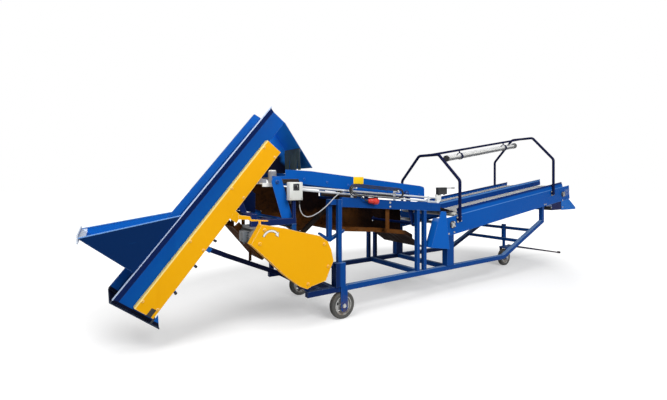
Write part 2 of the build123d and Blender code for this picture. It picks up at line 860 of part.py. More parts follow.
# Rockers: two plates on a cross tube
def rocker_shape(low, high, width):
    length = hypot(high[0] - low[0], high[1] - low[1])
    for plate_near in (-rocker_outer, rocker_inner):
        plate_plane = Plane(
            origin=(low[0], plate_near + rocker_outer - rocker_inner, low[1]),
            x_dir=(high[0] - low[0], 0, high[1] - low[1]),
            z_dir=(0, -1, 0),
        )
        with BuildSketch(plate_plane) as plate:
            with Locations((length / 2, 0)):
                SlotCenterToCenter(length, width)
            with Locations((length, 0)):
                Circle(pivot_radius + open_pivot_gap, mode=Mode.SUBTRACT)
        extrude(plate.sketch, amount=rocker_outer - rocker_inner, dir=(0, -1, 0))
    cross_rod(low, 16, rocker_inner, -rocker_inner)
    cross_rod(low, pivot_radius + fit_gap, rocker_outer, rocker_inner - 10, Mode.SUBTRACT)
    cross_rod(low, pivot_radius + fit_gap, -rocker_inner + 10, -rocker_outer, Mode.SUBTRACT)


with BuildPart() as rocker_front:
    rocker_shape(rocker_front_low, rocker_front_high, 96)
save(rocker_front, "rocker_front")

with BuildPart() as rocker_rear:
    rocker_shape(rocker_rear_low, rocker_rear_high, 60)
save(rocker_rear, "rocker_rear")

# Eccentric shaft, and the rod from its eccentric to the sieve
rod_length = hypot(drive_tube[0] - shaft_x, drive_tube[1] - shaft_z)
rod_way = ((drive_tube[0] - shaft_x) / rod_length, (drive_tube[1] - shaft_z) / rod_length)
offset_x = -rod_way[1] * throw
offset_z = rod_way[0] * throw
eccentric_place = (shaft_x + offset_x, shaft_z + offset_z)
rod_eye_place = (drive_tube[0] + offset_x, drive_tube[1] + offset_z)
rod_half = 18
with BuildPart() as eccentric_shaft:
    cross_rod((shaft_x, shaft_z), shaft_radius, 425, -pulley_near - 5)
    cross_rod(eccentric_place, eccentric_radius, rod_half + 2, -rod_half - 2)
    for collar_y in (-30, 22):
        cross_rod((shaft_x, shaft_z), 32, collar_y + 8, collar_y)
save(eccentric_shaft, "eccentric_shaft")

rod_eye_bore = cross_tube_radius + 2 * throw + 1
rod_plane = Plane(
    origin=(eccentric_place[0], rod_half, eccentric_place[1]),
    x_dir=(rod_way[0], 0, rod_way[1]),
    z_dir=(0, -1, 0),
)
with BuildPart() as con_rod:
    with BuildSketch(rod_plane) as rod_outline:
        Circle(62)
        with Locations((rod_length, 0)):
            Circle(44)
        with Locations((rod_length / 2, 0)):
            Rectangle(rod_length - 60, 40)
        Circle(eccentric_radius + fit_gap, mode=Mode.SUBTRACT)
        with Locations((rod_length, 0)):
            Circle(rod_eye_bore, mode=Mode.SUBTRACT)
    extrude(rod_outline.sketch, amount=2 * rod_half, dir=(0, -1, 0))
save(con_rod, "con_rod")

# Pulleys with belt grooves, and the belt as one loop round both
groove_near = 472
groove_far = 448
groove_gap = 0.5
big_groove = big_pitch_radius - belt_half_thickness - groove_gap
small_groove = small_pitch_radius - belt_half_thickness - groove_gap
pulley_lip = 12
with BuildPart() as drive_pulley:
    with BuildSketch(side_plane(-pulley_far)) as big_wheel:
        with Locations((shaft_x, shaft_z)):
            Circle(big_groove + pulley_lip)
            Circle(shaft_radius, mode=Mode.SUBTRACT)
            with PolarLocations(104, 6):
                Circle(38, mode=Mode.SUBTRACT)
    extrude(big_wheel.sketch, amount=pulley_near - pulley_far, dir=(0, -1, 0))
    with BuildSketch(side_plane(-groove_far)) as big_ring:
        with Locations((shaft_x, shaft_z)):
            Circle(big_groove + pulley_lip + 1)
            Circle(big_groove, mode=Mode.SUBTRACT)
    extrude(big_ring.sketch, amount=groove_near - groove_far, dir=(0, -1, 0), mode=Mode.SUBTRACT)
save(drive_pulley, "drive_pulley")

motor_shaft_radius = 14
with BuildPart() as motor_pulley:
    cross_rod((motor_x, motor_z), small_groove + pulley_lip, -pulley_far, -pulley_near)
    with BuildSketch(side_plane(-groove_far)) as small_ring:
        with Locations((motor_x, motor_z)):
            Circle(small_groove + pulley_lip + 1)
            Circle(small_groove, mode=Mode.SUBTRACT)
    extrude(small_ring.sketch, amount=groove_near - groove_far, dir=(0, -1, 0), mode=Mode.SUBTRACT)
    cross_rod((motor_x, motor_z), motor_shaft_radius, -350, -pulley_near)
save(motor_pulley, "motor_pulley")

with BuildPart() as v_belt:
    with BuildSketch(side_plane(-groove_far - 2)) as belt_outside:
        with Locations((shaft_x, shaft_z)):
            Circle(big_pitch_radius + belt_half_thickness)
        with Locations((motor_x, motor_z)):
            Circle(small_pitch_radius + belt_half_thickness)
        make_hull()
    extrude(belt_outside.sketch, amount=groove_near - groove_far - 4, dir=(0, -1, 0))
    with BuildSketch(side_plane(-groove_far - 2)) as belt_inside:
        with Locations((shaft_x, shaft_z)):
            Circle(big_pitch_radius - belt_half_thickness)
        with Locations((motor_x, motor_z)):
            Circle(small_pitch_radius - belt_half_thickness)
        make_hull()
    extrude(belt_inside.sketch, amount=groove_near - groove_far - 4, dir=(0, -1, 0), mode=Mode.SUBTRACT)
save(v_belt, "v_belt")

# Drive motor with cooling fins, hung by its foot plate under the near front rail
motor_front = 408
motor_back = 170
with BuildPart() as drive_motor:
    with BuildSketch(side_plane(-motor_back - 20)) as finned:
        with Locations((motor_x, motor_z)):
            Circle(motor_radius - 10)
            with PolarLocations(motor_radius - 6, 24):
                Rectangle(12, 4)
    extrude(finned.sketch, amount=motor_front - motor_back - 50, dir=(0, -1, 0))
    cross_rod((motor_x, motor_z), motor_radius - 4, -motor_back, -motor_back - 20)
    cross_rod((motor_x, motor_z), motor_radius, -motor_front + 30, -motor_front)
    block(motor_x - 75, motor_x + 75, -motor_front, -motor_back - 40, motor_z + 66, front_rail_bottom)
    block(motor_x - 105, motor_x - 60, -330, -240, motor_z - 40, motor_z + 40)
    cross_rod((motor_x, motor_z), motor_shaft_radius + fit_gap, -345, -motor_front, Mode.SUBTRACT)
save(drive_motor, "drive_motor")

# Yellow belt guard: deep tray, open at the back, with a strip that holds it to the front rail
guard_outline = [
    (-2312, 922),
    (-2069, 869),
    (-1977, 842),
    (-1783, 793),
    (-1701, 738),
    (-1665, 660),
    (-1641, 560),
    (-1681, 486),
    (-1722, 396),
    (-1862, 370),
    (-1906, 352),
    (-1977, 384),
    (-2114, 495),
    (-2245, 625),
    (-2401, 774),
]
guard_strip = [
    (-2475, 1002),
    (-2380, 986),
    (-2368, 962),
    (-2228, 946),
    (-2228, 936),
    (-2290, 941),
    (-2290, 911),
    (-2310, 914),
    (-2310, 943),
    (-2372, 946),
    (-2392, 958),
    (-2475, 966),
]
guard_bolts = [(-2290, 880), (-1740, 720), (-1700, 520), (-1900, 395), (-2330, 775)]
hollow_depth = guard_face - guard_back - guard_wall
with BuildPart() as belt_guard:
    side_plate(guard_outline, -guard_back, -guard_face)
    with BuildSketch(side_plane(-guard_back)) as guard_hollow:
        Polygon(*guard_outline, align=None)
        offset(amount=-guard_wall, kind=Kind.INTERSECTION, mode=Mode.REPLACE)
    extrude(guard_hollow.sketch, amount=hollow_depth, dir=(0, -1, 0), mode=Mode.SUBTRACT)
    with BuildSketch(side_plane(-guard_face)) as bolt_heads:
        with Locations(*guard_bolts):
            RegularPolygon(12, 6)
    extrude(bolt_heads.sketch, amount=side_reach - guard_face, dir=(0, -1, 0))
    side_plate(guard_strip, -guard_back, -guard_back - guard_wall)
save(belt_guard, "belt_guard")

# Slides: the soil slide under the elevator with its straps and link, and the one from sieve to table
soil_top = (-2428, 880)
soil_low = (-2170, 569)
soil_run = hypot(soil_low[0] - soil_top[0], soil_low[1] - soil_top[1])
soil_up = ((soil_top[1] - soil_low[1]) / soil_run, (soil_low[0] - soil_top[0]) / soil_run)
soil_half = 150
lip_height = 60
link_x = -2230
link_bottom = 543
slide_end = on_table(-95, 36)
slide_start = (-345, 1030)
with BuildPart() as slides:
    side_plate(
        [
            soil_top,
            soil_low,
            (soil_low[0] - 3 * soil_up[0], soil_low[1] - 3 * soil_up[1]),
            (soil_top[0] - 3 * soil_up[0], soil_top[1] - 3 * soil_up[1]),
        ],
        soil_half,
        -soil_half,
    )
    for lip_near in (-soil_half, soil_half - 3):
        side_plate(
            [
                soil_top,
                soil_low,
                (soil_low[0] + lip_height * soil_up[0], soil_low[1] + lip_height * soil_up[1]),
                (soil_top[0] + lip_height * soil_up[0], soil_top[1] + lip_height * soil_up[1]),
            ],
            lip_near + 3,
            lip_near,
        )
        block(-2360, -2330, lip_near, lip_near + 3, 810, front_rail_top)
    block(link_x - 10, link_x + 10, -10, 10, link_bottom, 636)
    side_plate(
        [
            slide_start,
            slide_end,
            (slide_end[0], slide_end[1] - 3),
            (slide_start[0], slide_start[1] - 3),
        ],
        leg_inner,
        -leg_inner,
    )
save(slides, "slides")

# Collecting pan under the sieve, folded along its length, with side lips and hanging straps
pan_line = [(-1480, 797), (-1342, 784), (-1028, 756), (-609, 698), (-504, 646), (-331, 530)]
pan_half = 330
pan_lip = 40
near_line = pan_line[:5]
with BuildPart() as collecting_pan:
    side_plate(pan_line + [(x, z - sheet) for x, z in reversed(pan_line)], pan_half, -pan_half)
    side_plate(near_line + [(x, z + pan_lip) for x, z in reversed(near_line)], -pan_half + 3, -pan_half)
    side_plate(pan_line + [(x, z + pan_lip) for x, z in reversed(pan_line)], pan_half, pan_half - 3)
    for strap_way in (-1, 1):
        strap_low = min(strap_way * leg_inner, strap_way * (leg_inner - 6))
        block(-950, -900, strap_low, strap_low + 6, 745, 1040)
        foot_low = min(strap_way * leg_inner, strap_way * pan_half)
        block(-950, -900, foot_low, foot_low + leg_inner - pan_half, 745, 751)
save(collecting_pan, "collecting_pan")

# Far wall that stands in the pan and reaches up to the sieve, notched at the drive tube, with a hole round the
# tube of the rear rockers
wall_outline = [
    (-2110, 1000),
    (-1995, 965),
    (-1985, 860),
    (-1484, 712),
    *pan_line[:5],
    (-60, 606),
    (-60, 920),
    (-440, 990),
    (-440, 1070),
    (-1310, 1070),
    (-1310, 1161),
    (-1985, 1237),
    (-2110, 1251),
]
with BuildPart() as pan_wall:
    side_plate(wall_outline, pan_half - 3, pan_half - 6)
    cross_rod(rocker_rear_low, 30, pan_half, pan_half - 10, Mode.SUBTRACT)
save(pan_wall, "pan_wall")

# Side outlet: front plate and two walls, open at the top, the back and the bottom
outlet_left = -226
outlet_right = -142
outlet_front = 490
with BuildPart() as outlet_chute:
    side_plate(
        [
            (outlet_left, beam_bottom(outlet_left)),
            (outlet_right, beam_bottom(outlet_right)),
            (-80, 506),
            (-380, 549),
        ],
        -400,
        -outlet_front,
    )
    side_plate(
        [
            (outlet_left + 3, beam_bottom(outlet_left) + 10),
            (outlet_right - 3, beam_bottom(outlet_right) + 10),
            (-82, 480),
            (-386, 524),
        ],
        -400,
        -outlet_front + 3,
        Mode.SUBTRACT,
    )
save(outlet_chute, "outlet_chute")

# Table side panels: web with an inward flange, leaning board above the fold, track strip under the pins of
# the rollers, slots at the high end
web_section = [
    (-table_y, 0),
    (-table_y, flange_low),
    (-table_y + 60, flange_low),
    (-table_y + 60, flange_low + sheet),
    (-table_y + sheet, flange_low + sheet),
    (-table_y + sheet, 0),
]
board_section = [
    (-table_y, 0),
    (-table_y + sheet, 0),
    (-table_y + sheet + board_lean, board_rise),
    (-table_y + board_lean, board_rise),
]
track_top = roller_up - roller_pin_radius
track_inner = 438
track_section = [
    (-table_y + sheet, track_top - 10),
    (-track_inner, track_top - 10),
    (-track_inner, track_top),
    (-table_y + sheet, track_top),
]
track_start = -125
track_end = 2400


def table_cut(along):
    x, z = on_table(along, 0)
    return Plane(origin=(x, 0, z), x_dir=(0, 1, 0), z_dir=(table_cos, 0, table_sin))


with BuildPart() as table_sides:
    with BuildSketch(table_cut(table_start)) as web:
        Polygon(*web_section, align=None)
    extrude(web.sketch, amount=table_end - table_start, dir=(table_cos, 0, table_sin))
    with BuildSketch(table_cut(board_start)) as board:
        Polygon(*board_section, align=None)
    extrude(board.sketch, amount=board_end - board_start, dir=(table_cos, 0, table_sin))
    with BuildSketch(table_cut(track_start)) as track:
        Polygon(*track_section, align=None)
    extrude(track.sketch, amount=track_end - track_start, dir=(table_cos, 0, table_sin))
    for shaft_place in (table_head, table_tail):
        cross_rod(on_table(*shaft_place), shaft_radius + 2, -table_y + 10, -table_y - 10, Mode.SUBTRACT)
    for slot_along in (2465, 2500, 2535, 2570):
        table_plate(
            [
                (slot_along, -150),
                (slot_along + 12, -150),
                (slot_along + 42, -50),
                (slot_along + 30, -50),
            ],
            -table_y + 10,
            -table_y - 10,
            Mode.SUBTRACT,
        )
    mirror(about=Plane.XZ)
save(table_sides, "table_sides")

# Divider board that stands on the rollers
divider_y = 110
divider_start = -80
divider_low = roller_up + roller_radius
with BuildPart() as table_divider:
    table_plate(
        [
            (divider_start, divider_low),
            (2435, divider_low),
            (2435, 120),
            (divider_start + 60, 120),
            (divider_start, 60),
        ],
        -divider_y + 2,
        -divider_y - 2,
    )
save(table_divider, "table_divider")

# Rollers on pins that rest on the track strips
roller_half = 432
pin_half = 446.5
with BuildPart() as table_rollers:
    for roller in range(roller_count):
        roller_place = on_table(roller_first + roller * roller_pitch, roller_up)
        cross_rod(roller_place, roller_radius, roller_half, -roller_half)
        cross_rod(roller_place, roller_pin_radius, pin_half, -pin_half)
save(table_rollers, "table_rollers")

# Table shafts with sprockets; the head shaft runs through to its drive sprocket on the far side
sprocket_y = 436
with BuildPart() as table_head_shaft:
    head_place = on_table(*table_head)
    cross_rod(head_place, shaft_radius, side_reach, -478)
    cross_rod(head_place, 55, -sprocket_y, -sprocket_y - 10)
    cross_rod(head_place, 55, sprocket_y + 10, sprocket_y)
    cross_rod(head_place, 50, 492, 482)
save(table_head_shaft, "table_head_shaft")

with BuildPart() as table_tail_shaft:
    tail_place = on_table(*table_tail)
    cross_rod(tail_place, shaft_radius, 478, -478)
    cross_rod(tail_place, 55, -sprocket_y, -sprocket_y - 10)
    cross_rod(tail_place, 55, sprocket_y + 10, sprocket_y)
save(table_tail_shaft, "table_tail_shaft")

# Chute at the high end of the table: two cheeks, a sloping floor and a tray that reaches back under the table
cheek_start = 2565
cheek_bend = 2800
chute_tip = 3026
tray_start = 2275
tray_bottom = 842
tray_lip = 30
tray_side = [
    (tray_start, tray_bottom),
    (cheek_start + 2, tray_bottom),
    (cheek_start + 2, flange_height(cheek_start + 2) - 1),
    (tray_start, flange_height(tray_start) - 1),
]
with BuildPart() as end_chute:
    side_plate(
        [
            (cheek_start, flange_height(cheek_start)),
            (cheek_bend, flange_height(cheek_bend)),
            (chute_tip, 862),
            (chute_tip, 832),
            (cheek_start, 835),
        ],
        -table_y + sheet,
        -table_y,
    )
    mirror(about=Plane.XZ)
    side_plate(
        [(cheek_start + 4, 925), (chute_tip - 2, 846), (chute_tip - 2, 842), (cheek_start + 4, 921)],
        table_y - sheet,
        -table_y + sheet,
    )
    block(tray_start, cheek_start + 10, -table_y + sheet, table_y - sheet, tray_bottom, tray_bottom + sheet)
    block(tray_start, tray_start + sheet, -table_y + sheet, table_y - sheet, tray_bottom, tray_bottom + tray_lip)
    for wall_far in (-table_y + sheet, table_y):
        side_plate(tray_side, wall_far, wall_far - sheet)
save(end_chute, "end_chute")

# Arches with foot plates on the outside of the table, the bar between them and the two clamps of the lamp
arch_low_knee = 1278
arch_low_top = 1601
arch_low_half = 160
arch_high_knee = 1602
arch_high_top = 1952
arch_high_half = 163
foot_middle = -50
foot_half_height = 35
foot_half_width = 40
foot_thickness = 6
bar_length = hypot(arch_high_x - arch_low_x, arch_high_top - arch_low_top)
bar_way = ((arch_high_x - arch_low_x) / bar_length, (arch_high_top - arch_low_top) / bar_length)


def under_bar(distance, drop):
    x = arch_low_x + bar_way[0] * distance + bar_way[1] * drop
    z = arch_low_top + bar_way[1] * distance - bar_way[0] * drop
    return x, 0, z


def arch_shape(x, knee, top, half):
    along = (x - fold_x + foot_middle * table_sin) / table_cos
    foot = on_table(along, foot_middle - 25)[1]
    for foot_low in (-table_y - foot_thickness, table_y):
        table_plate(
            [
                (along - foot_half_width, foot_middle - foot_half_height),
                (along + foot_half_width, foot_middle - foot_half_height),
                (along + foot_half_width, foot_middle + foot_half_height),
                (along - foot_half_width, foot_middle + foot_half_height),
            ],
            foot_low + foot_thickness,
            foot_low,
        )
    corners = [
        (x, -arch_y, foot),
        (x, -arch_y, knee),
        (x, -half, top),
        (x, half, top),
        (x, arch_y, knee),
        (x, arch_y, foot),
    ]
    with BuildLine() as arch_line:
        FilletPolyline(*corners, radius=60)
    with BuildSketch(Plane(origin=corners[0], z_dir=(0, 0, 1))) as arch_section:
        Circle(arch_tube_radius)
    sweep(arch_section.sketch, path=arch_line.line)


clamp_inset = 300
clamp_half = 16
lamp_first = (lamp_start - arch_low_x - bar_way[1] * lamp_drop) / bar_way[0]
lamp_last = (lamp_end - arch_low_x - bar_way[1] * lamp_drop) / bar_way[0]
with BuildPart() as arches:
    arch_shape(arch_low_x, arch_low_knee, arch_low_top, arch_low_half)
    arch_shape(arch_high_x, arch_high_knee, arch_high_top, arch_high_half)
    rod(under_bar(0, 0), under_bar(bar_length, 0), lamp_bar_radius)
    for clamp_middle in (lamp_first + clamp_inset, lamp_last - clamp_inset):
        clamp_ends = (clamp_middle - clamp_half, clamp_middle + clamp_half)
        rod(under_bar(clamp_ends[0], lamp_drop), under_bar(clamp_ends[1], lamp_drop), lamp_radius + 5)
        rod(under_bar(clamp_middle, lamp_drop - lamp_radius - 1), under_bar(clamp_middle, 5), 9)
    rod(under_bar(lamp_first, lamp_drop), under_bar(lamp_last, lamp_drop), lamp_radius, Mode.SUBTRACT)
save(arches, "arches")

with BuildPart() as lamp_tube:
    rod(under_bar(lamp_first, lamp_drop), under_bar(lamp_last, lamp_drop), lamp_radius)
save(lamp_tube, "lamp_tube")

# Control box with two cable glands, and its rotary switch
box_left = -2049
box_right = -1925
box_front = 445
box_back = box_post_inner
box_top = 1258
knob_x = -1987
knob_z = 1215
knob_shaft_radius = 5
gland_x = -1945
gland_y = -420
gland_bottom = 1090
with BuildPart() as control_box:
    block(box_left, box_right, -box_front, -box_back, box_bottom, box_top)
    fillet(control_box.edges().filter_by(Axis.Y), 6)
    for gland_place in (-2030, gland_x):
        rod((gland_place, gland_y, gland_bottom), (gland_place, gland_y, box_bottom), 9)
    cross_rod((knob_x, knob_z), knob_shaft_radius + fit_gap, -box_front + 20, -box_front, Mode.SUBTRACT)
save(control_box, "control_box")

with BuildPart() as control_knob:
    cross_rod((knob_x, knob_z), 17, -box_front - 0.5, -box_front - 12)
    block(knob_x - 5, knob_x + 5, -box_front - 24, -box_front - 12, knob_z - 16, knob_z + 16)
    cross_rod((knob_x, knob_z), knob_shaft_radius, -box_front + 18, -box_front - 0.5)
save(control_knob, "control_knob")

# Cable hank: one cable wound outwards in a flat oval, from a gland inside it to the plug below
hank_x = -1110
hank_z = 1162
hank_tilt = -4.9
hank_half = 285
first_run = 32
loop_pitch = 12
loop_count = 3
hank_start = 245
tail_start = -215
bend_radius = 60
bend_turn = 45.6
hank_way = (cos(radians(hank_tilt)), 0, sin(radians(hank_tilt)))
hank_plane = Plane(origin=(hank_x, -hank_y, hank_z), x_dir=hank_way, z_dir=(0, -1, 0))


def on_hank(along, up):
    place = hank_plane.from_local_coords(Vector(along, up, 0))
    return place.X, place.Y, place.Z


with BuildPart() as cable_hank:
    with BuildLine(hank_plane) as hank_line:
        turn_start = hank_start
        for loop in range(loop_count):
            upper = first_run + loop * loop_pitch
            next_upper = upper + loop_pitch
            Line((turn_start, upper), (-hank_half, upper))
            ThreePointArc((-hank_half, upper), (-hank_half - upper, 0), (-hank_half, -upper))
            if loop < loop_count - 1:
                Line((-hank_half, -upper), (hank_half, -upper))
                right_radius = (upper + next_upper) / 2
                right_middle = (next_upper - upper) / 2
                ThreePointArc(
                    (hank_half, -upper),
                    (hank_half + right_radius, right_middle),
                    (hank_half, next_upper),
                )
                turn_start = hank_half
        last_run = -first_run - (loop_count - 1) * loop_pitch
        Line((-hank_half, last_run), (tail_start, last_run))
        drop_bend = JernArc((tail_start, last_run), (1, 0), bend_radius, -bend_turn)
        level_bend = JernArc(drop_bend @ 1, drop_bend % 1, bend_radius, bend_turn)
        Line(level_bend @ 1, (level_bend @ 1) + 2 * cable_radius * (level_bend % 1))
    cable_plane = Plane(origin=on_hank(hank_start, first_run), z_dir=hank_line.line % 0)
    with BuildSketch(cable_plane) as cable_section:
        Circle(cable_radius)
    sweep(cable_section.sketch, path=hank_line.line)
save(cable_hank, "cable_hank")

hank_wire = hank_line.wire()
hank_samples = [hank_wire @ (step / 1400) for step in range(1401)]
sample_step = hank_wire.length / 1400
skip = int(120 / sample_step)
least_gap = min(
    (hank_samples[first] - hank_samples[second]).length
    for first in range(0, 1401, 2)
    for second in range(first + skip, 1401)
) - 2 * cable_radius
print("hank cable length", round(hank_wire.length), "least gap between loops", round(least_gap, 2))

# Red plug: neck on the cable, grip and skirted front
plug_start = hank_wire @ 1
plug_way = Vector(*hank_way)


def plug_length(start, end, radius):
    rod(tuple(plug_start + plug_way * start), tuple(plug_start + plug_way * end), radius)


with BuildPart() as plug:
    plug_length(0, 16, 14)
    plug_length(16, 70, 24)
    plug_length(70, 118, 29)
    rod(tuple(plug_start + plug_way * 82), tuple(plug_start + plug_way * 118), 25, Mode.SUBTRACT)
    for pin_turn in range(4):
        pin_side = 14 * cos(radians(90 * pin_turn + 45))
        pin_up = 14 * sin(radians(90 * pin_turn + 45))
        pin_root = plug_start + hank_plane.y_dir * pin_up + Vector(0, pin_side, 0)
        rod(tuple(pin_root + plug_way * 80), tuple(pin_root + plug_way * 112), 3.5)
save(plug, "plug")

# Sagging cable from the control box to a gland on the upper conduit
sag_radius = 4.5
sag_points = [
    (gland_x, gland_y, gland_bottom),
    (gland_x, gland_y, 1040),
    (-1925, -424, 985),
    (-1885, -427, 955),
    (-1820, -430, 960),
    (-1740, -430, 1000),
    (-1660, -428, 1055),
    (-1590, -424, 1118),
    (-1540, -421, 1150),
    (-1500, -418, 1172),
]
sag_runs = [Vector(*sag_points[i + 1]) - Vector(*sag_points[i]) for i in range(len(sag_points) - 1)]
sag_radii = []
for before, after in zip(sag_runs, sag_runs[1:]):
    half_turn = radians(before.get_angle(after) / 2)
    sag_radii.append(0.45 * min(before.length, after.length) / tan(half_turn))
print("sagging cable radii", [round(radius) for radius in sag_radii])
with BuildPart() as sag_cable:
    with BuildLine() as sag_line:
        FilletPolyline(*sag_points, radius=sag_radii)
    with BuildSketch(Plane(origin=sag_points[0], z_dir=sag_runs[0])) as sag_section:
        Circle(sag_radius)
    sweep(sag_section.sketch, path=sag_line.line)
save(sag_cable, "sag_cable")
print("sagging cable length", round(sag_line.wire().length))

# Conduits on clips, with the pegs that hold the hank and the two cable glands
conduit_end = -205
upper_slope = -0.0783
lower_slope = -0.0893
upper_start = 1216.3
lower_start = 1190.4
peg_along = 270
peg_up = 19
peg_radius = first_run - cable_radius - peg_up


def conduit_height(x, start, slope):
    return start + slope * (x - box_right)


with BuildPart() as conduits:
    for start, slope in ((upper_start, upper_slope), (lower_start, lower_slope)):
        rod(
            (box_right + 0.8, -conduit_y, start),
            (conduit_end - 0.8, -conduit_y, conduit_height(conduit_end, start, slope)),
            conduit_radius,
        )
    for clip_along, clip_rise in ((-peg_along, 45), (peg_along, 45), (780, 14)):
        clip_x = on_hank(clip_along, 0)[0]
        clip_top = conduit_height(clip_x, upper_start, upper_slope) + clip_rise
        side_plate(
            [
                (clip_x - 14, beam_bottom(clip_x - 14) + beam_height),
                (clip_x + 14, beam_bottom(clip_x + 14) + beam_height),
                (clip_x + 14, clip_top),
                (clip_x - 14, clip_top),
            ],
            -404,
            -410,
        )
    for peg_side in (-peg_along, peg_along):
        peg_x, peg_y, peg_z = on_hank(peg_side, peg_up)
        cross_rod((peg_x, peg_z), peg_radius, -408, -hank_y - 10)
    rod(on_hank(hank_start, first_run), on_hank(peg_along, first_run), 6)
    sag_end = Vector(*sag_points[-1])
    sag_way = sag_runs[-1].normalized()
    rod(tuple(sag_end), tuple(sag_end + sag_way * 14), 7)
    meeting_x = -1478
    meeting = (meeting_x, -conduit_y, conduit_height(meeting_x, upper_start, upper_slope))
    rod(tuple(sag_end + sag_way * 12), meeting, 6)
save(conduits, "conduits")

# Junction box on a white post at the end of the near beam, with a thin lever
junction_bottom = 1120
junction_top = 1200
junction_end = -55
lever_z = 1191
with BuildPart() as junction_box:
    side_plate(
        [
            (conduit_end, beam_bottom(conduit_end) + beam_height),
            (beam_end, beam_bottom(beam_end) + beam_height),
            (-135, 1060),
            (-135, junction_bottom),
            (conduit_end, junction_bottom),
        ],
        -385,
        -415,
    )
    block(conduit_end, junction_end, -leg_outer, -leg_inner, junction_bottom, junction_top)
    rod((junction_end - 2, -rail_y, lever_z), (95, -rail_y, lever_z), 4)
save(junction_box, "junction_box")
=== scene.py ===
from math import asin, cos, pi, radians, sin, tan

import bmesh
import bpy
from mathutils import Matrix, Vector


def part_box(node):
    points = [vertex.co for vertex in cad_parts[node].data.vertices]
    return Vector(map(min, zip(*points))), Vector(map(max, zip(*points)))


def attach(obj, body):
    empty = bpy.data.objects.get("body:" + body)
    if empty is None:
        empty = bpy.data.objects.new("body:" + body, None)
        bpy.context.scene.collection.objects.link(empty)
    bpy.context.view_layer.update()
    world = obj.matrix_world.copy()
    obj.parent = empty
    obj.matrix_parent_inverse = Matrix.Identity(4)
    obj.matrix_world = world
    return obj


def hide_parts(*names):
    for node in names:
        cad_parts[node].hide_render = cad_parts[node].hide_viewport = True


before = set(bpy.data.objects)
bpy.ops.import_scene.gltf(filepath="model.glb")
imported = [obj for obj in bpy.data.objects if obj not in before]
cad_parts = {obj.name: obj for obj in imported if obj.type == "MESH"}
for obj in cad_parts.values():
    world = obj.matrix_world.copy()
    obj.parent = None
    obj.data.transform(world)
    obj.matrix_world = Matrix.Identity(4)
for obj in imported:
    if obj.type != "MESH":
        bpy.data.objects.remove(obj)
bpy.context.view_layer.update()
scene = bpy.context.scene
scene.view_settings.view_transform = "Standard"
print("frame loaded,", len(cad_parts), "nodes")


def placed(name, data):  # a new object in the scene
    thing = bpy.data.objects.new(name, data)
    scene.collection.objects.link(thing)
    return thing


# Camera, level, at a standing person's chest
camera = {"place": (-3.370, -3.141, 1.250), "turn": -33.1, "lens": 19.27, "sensor": 36, "shift": -0.0255}
cameraData = bpy.data.cameras.new("camera")
cameraData.lens = camera["lens"]
cameraData.sensor_width = camera["sensor"]
cameraData.shift_y = camera["shift"]
scene.camera = placed("camera", cameraData)
scene.camera.location = camera["place"]
scene.camera.rotation_euler = (radians(90), 0, radians(camera["turn"]))


def tint(colour):  # a screen colour, 0 to 255, as Blender's linear one
    parts = [part / 255 for part in colour]
    return (*(part / 12.92 if part <= 0.04045 else ((part + 0.055) / 1.055) ** 2.4 for part in parts), 1)


# Node trees written as Python: a wire is one output socket
class Wire:
    def __init__(self, nodes, socket):
        self.nodes = nodes
        self.socket = socket

    def __add__(self, other):
        return self.nodes.maths("ADD", self, other)

    def __sub__(self, other):
        return self.nodes.maths("SUBTRACT", self, other)

    def __rsub__(self, other):
        return self.nodes.maths("SUBTRACT", other, self)

    def __mul__(self, other):
        return self.nodes.maths("MULTIPLY", self, other)

    __radd__ = __add__
    __rmul__ = __mul__


class Nodes:
    def add(self, kind, sockets=None, **settings):
        node = self.tree.nodes.new(kind)
        for key, value in settings.items():
            setattr(node, key, value)
        for key, value in (sockets or {}).items():
            if isinstance(value, Wire):
                self.tree.links.new(value.socket, node.inputs[key])
            else:
                node.inputs[key].default_value = value
        return node

    def wire(self, kind, sockets=None, output=0, **settings):
        return Wire(self, self.add(kind, sockets, **settings).outputs[output])

    def maths(self, operation, first, second=0.0):
        return self.wire("ShaderNodeMath", {0: first, 1: second}, operation=operation)


finishes = {}


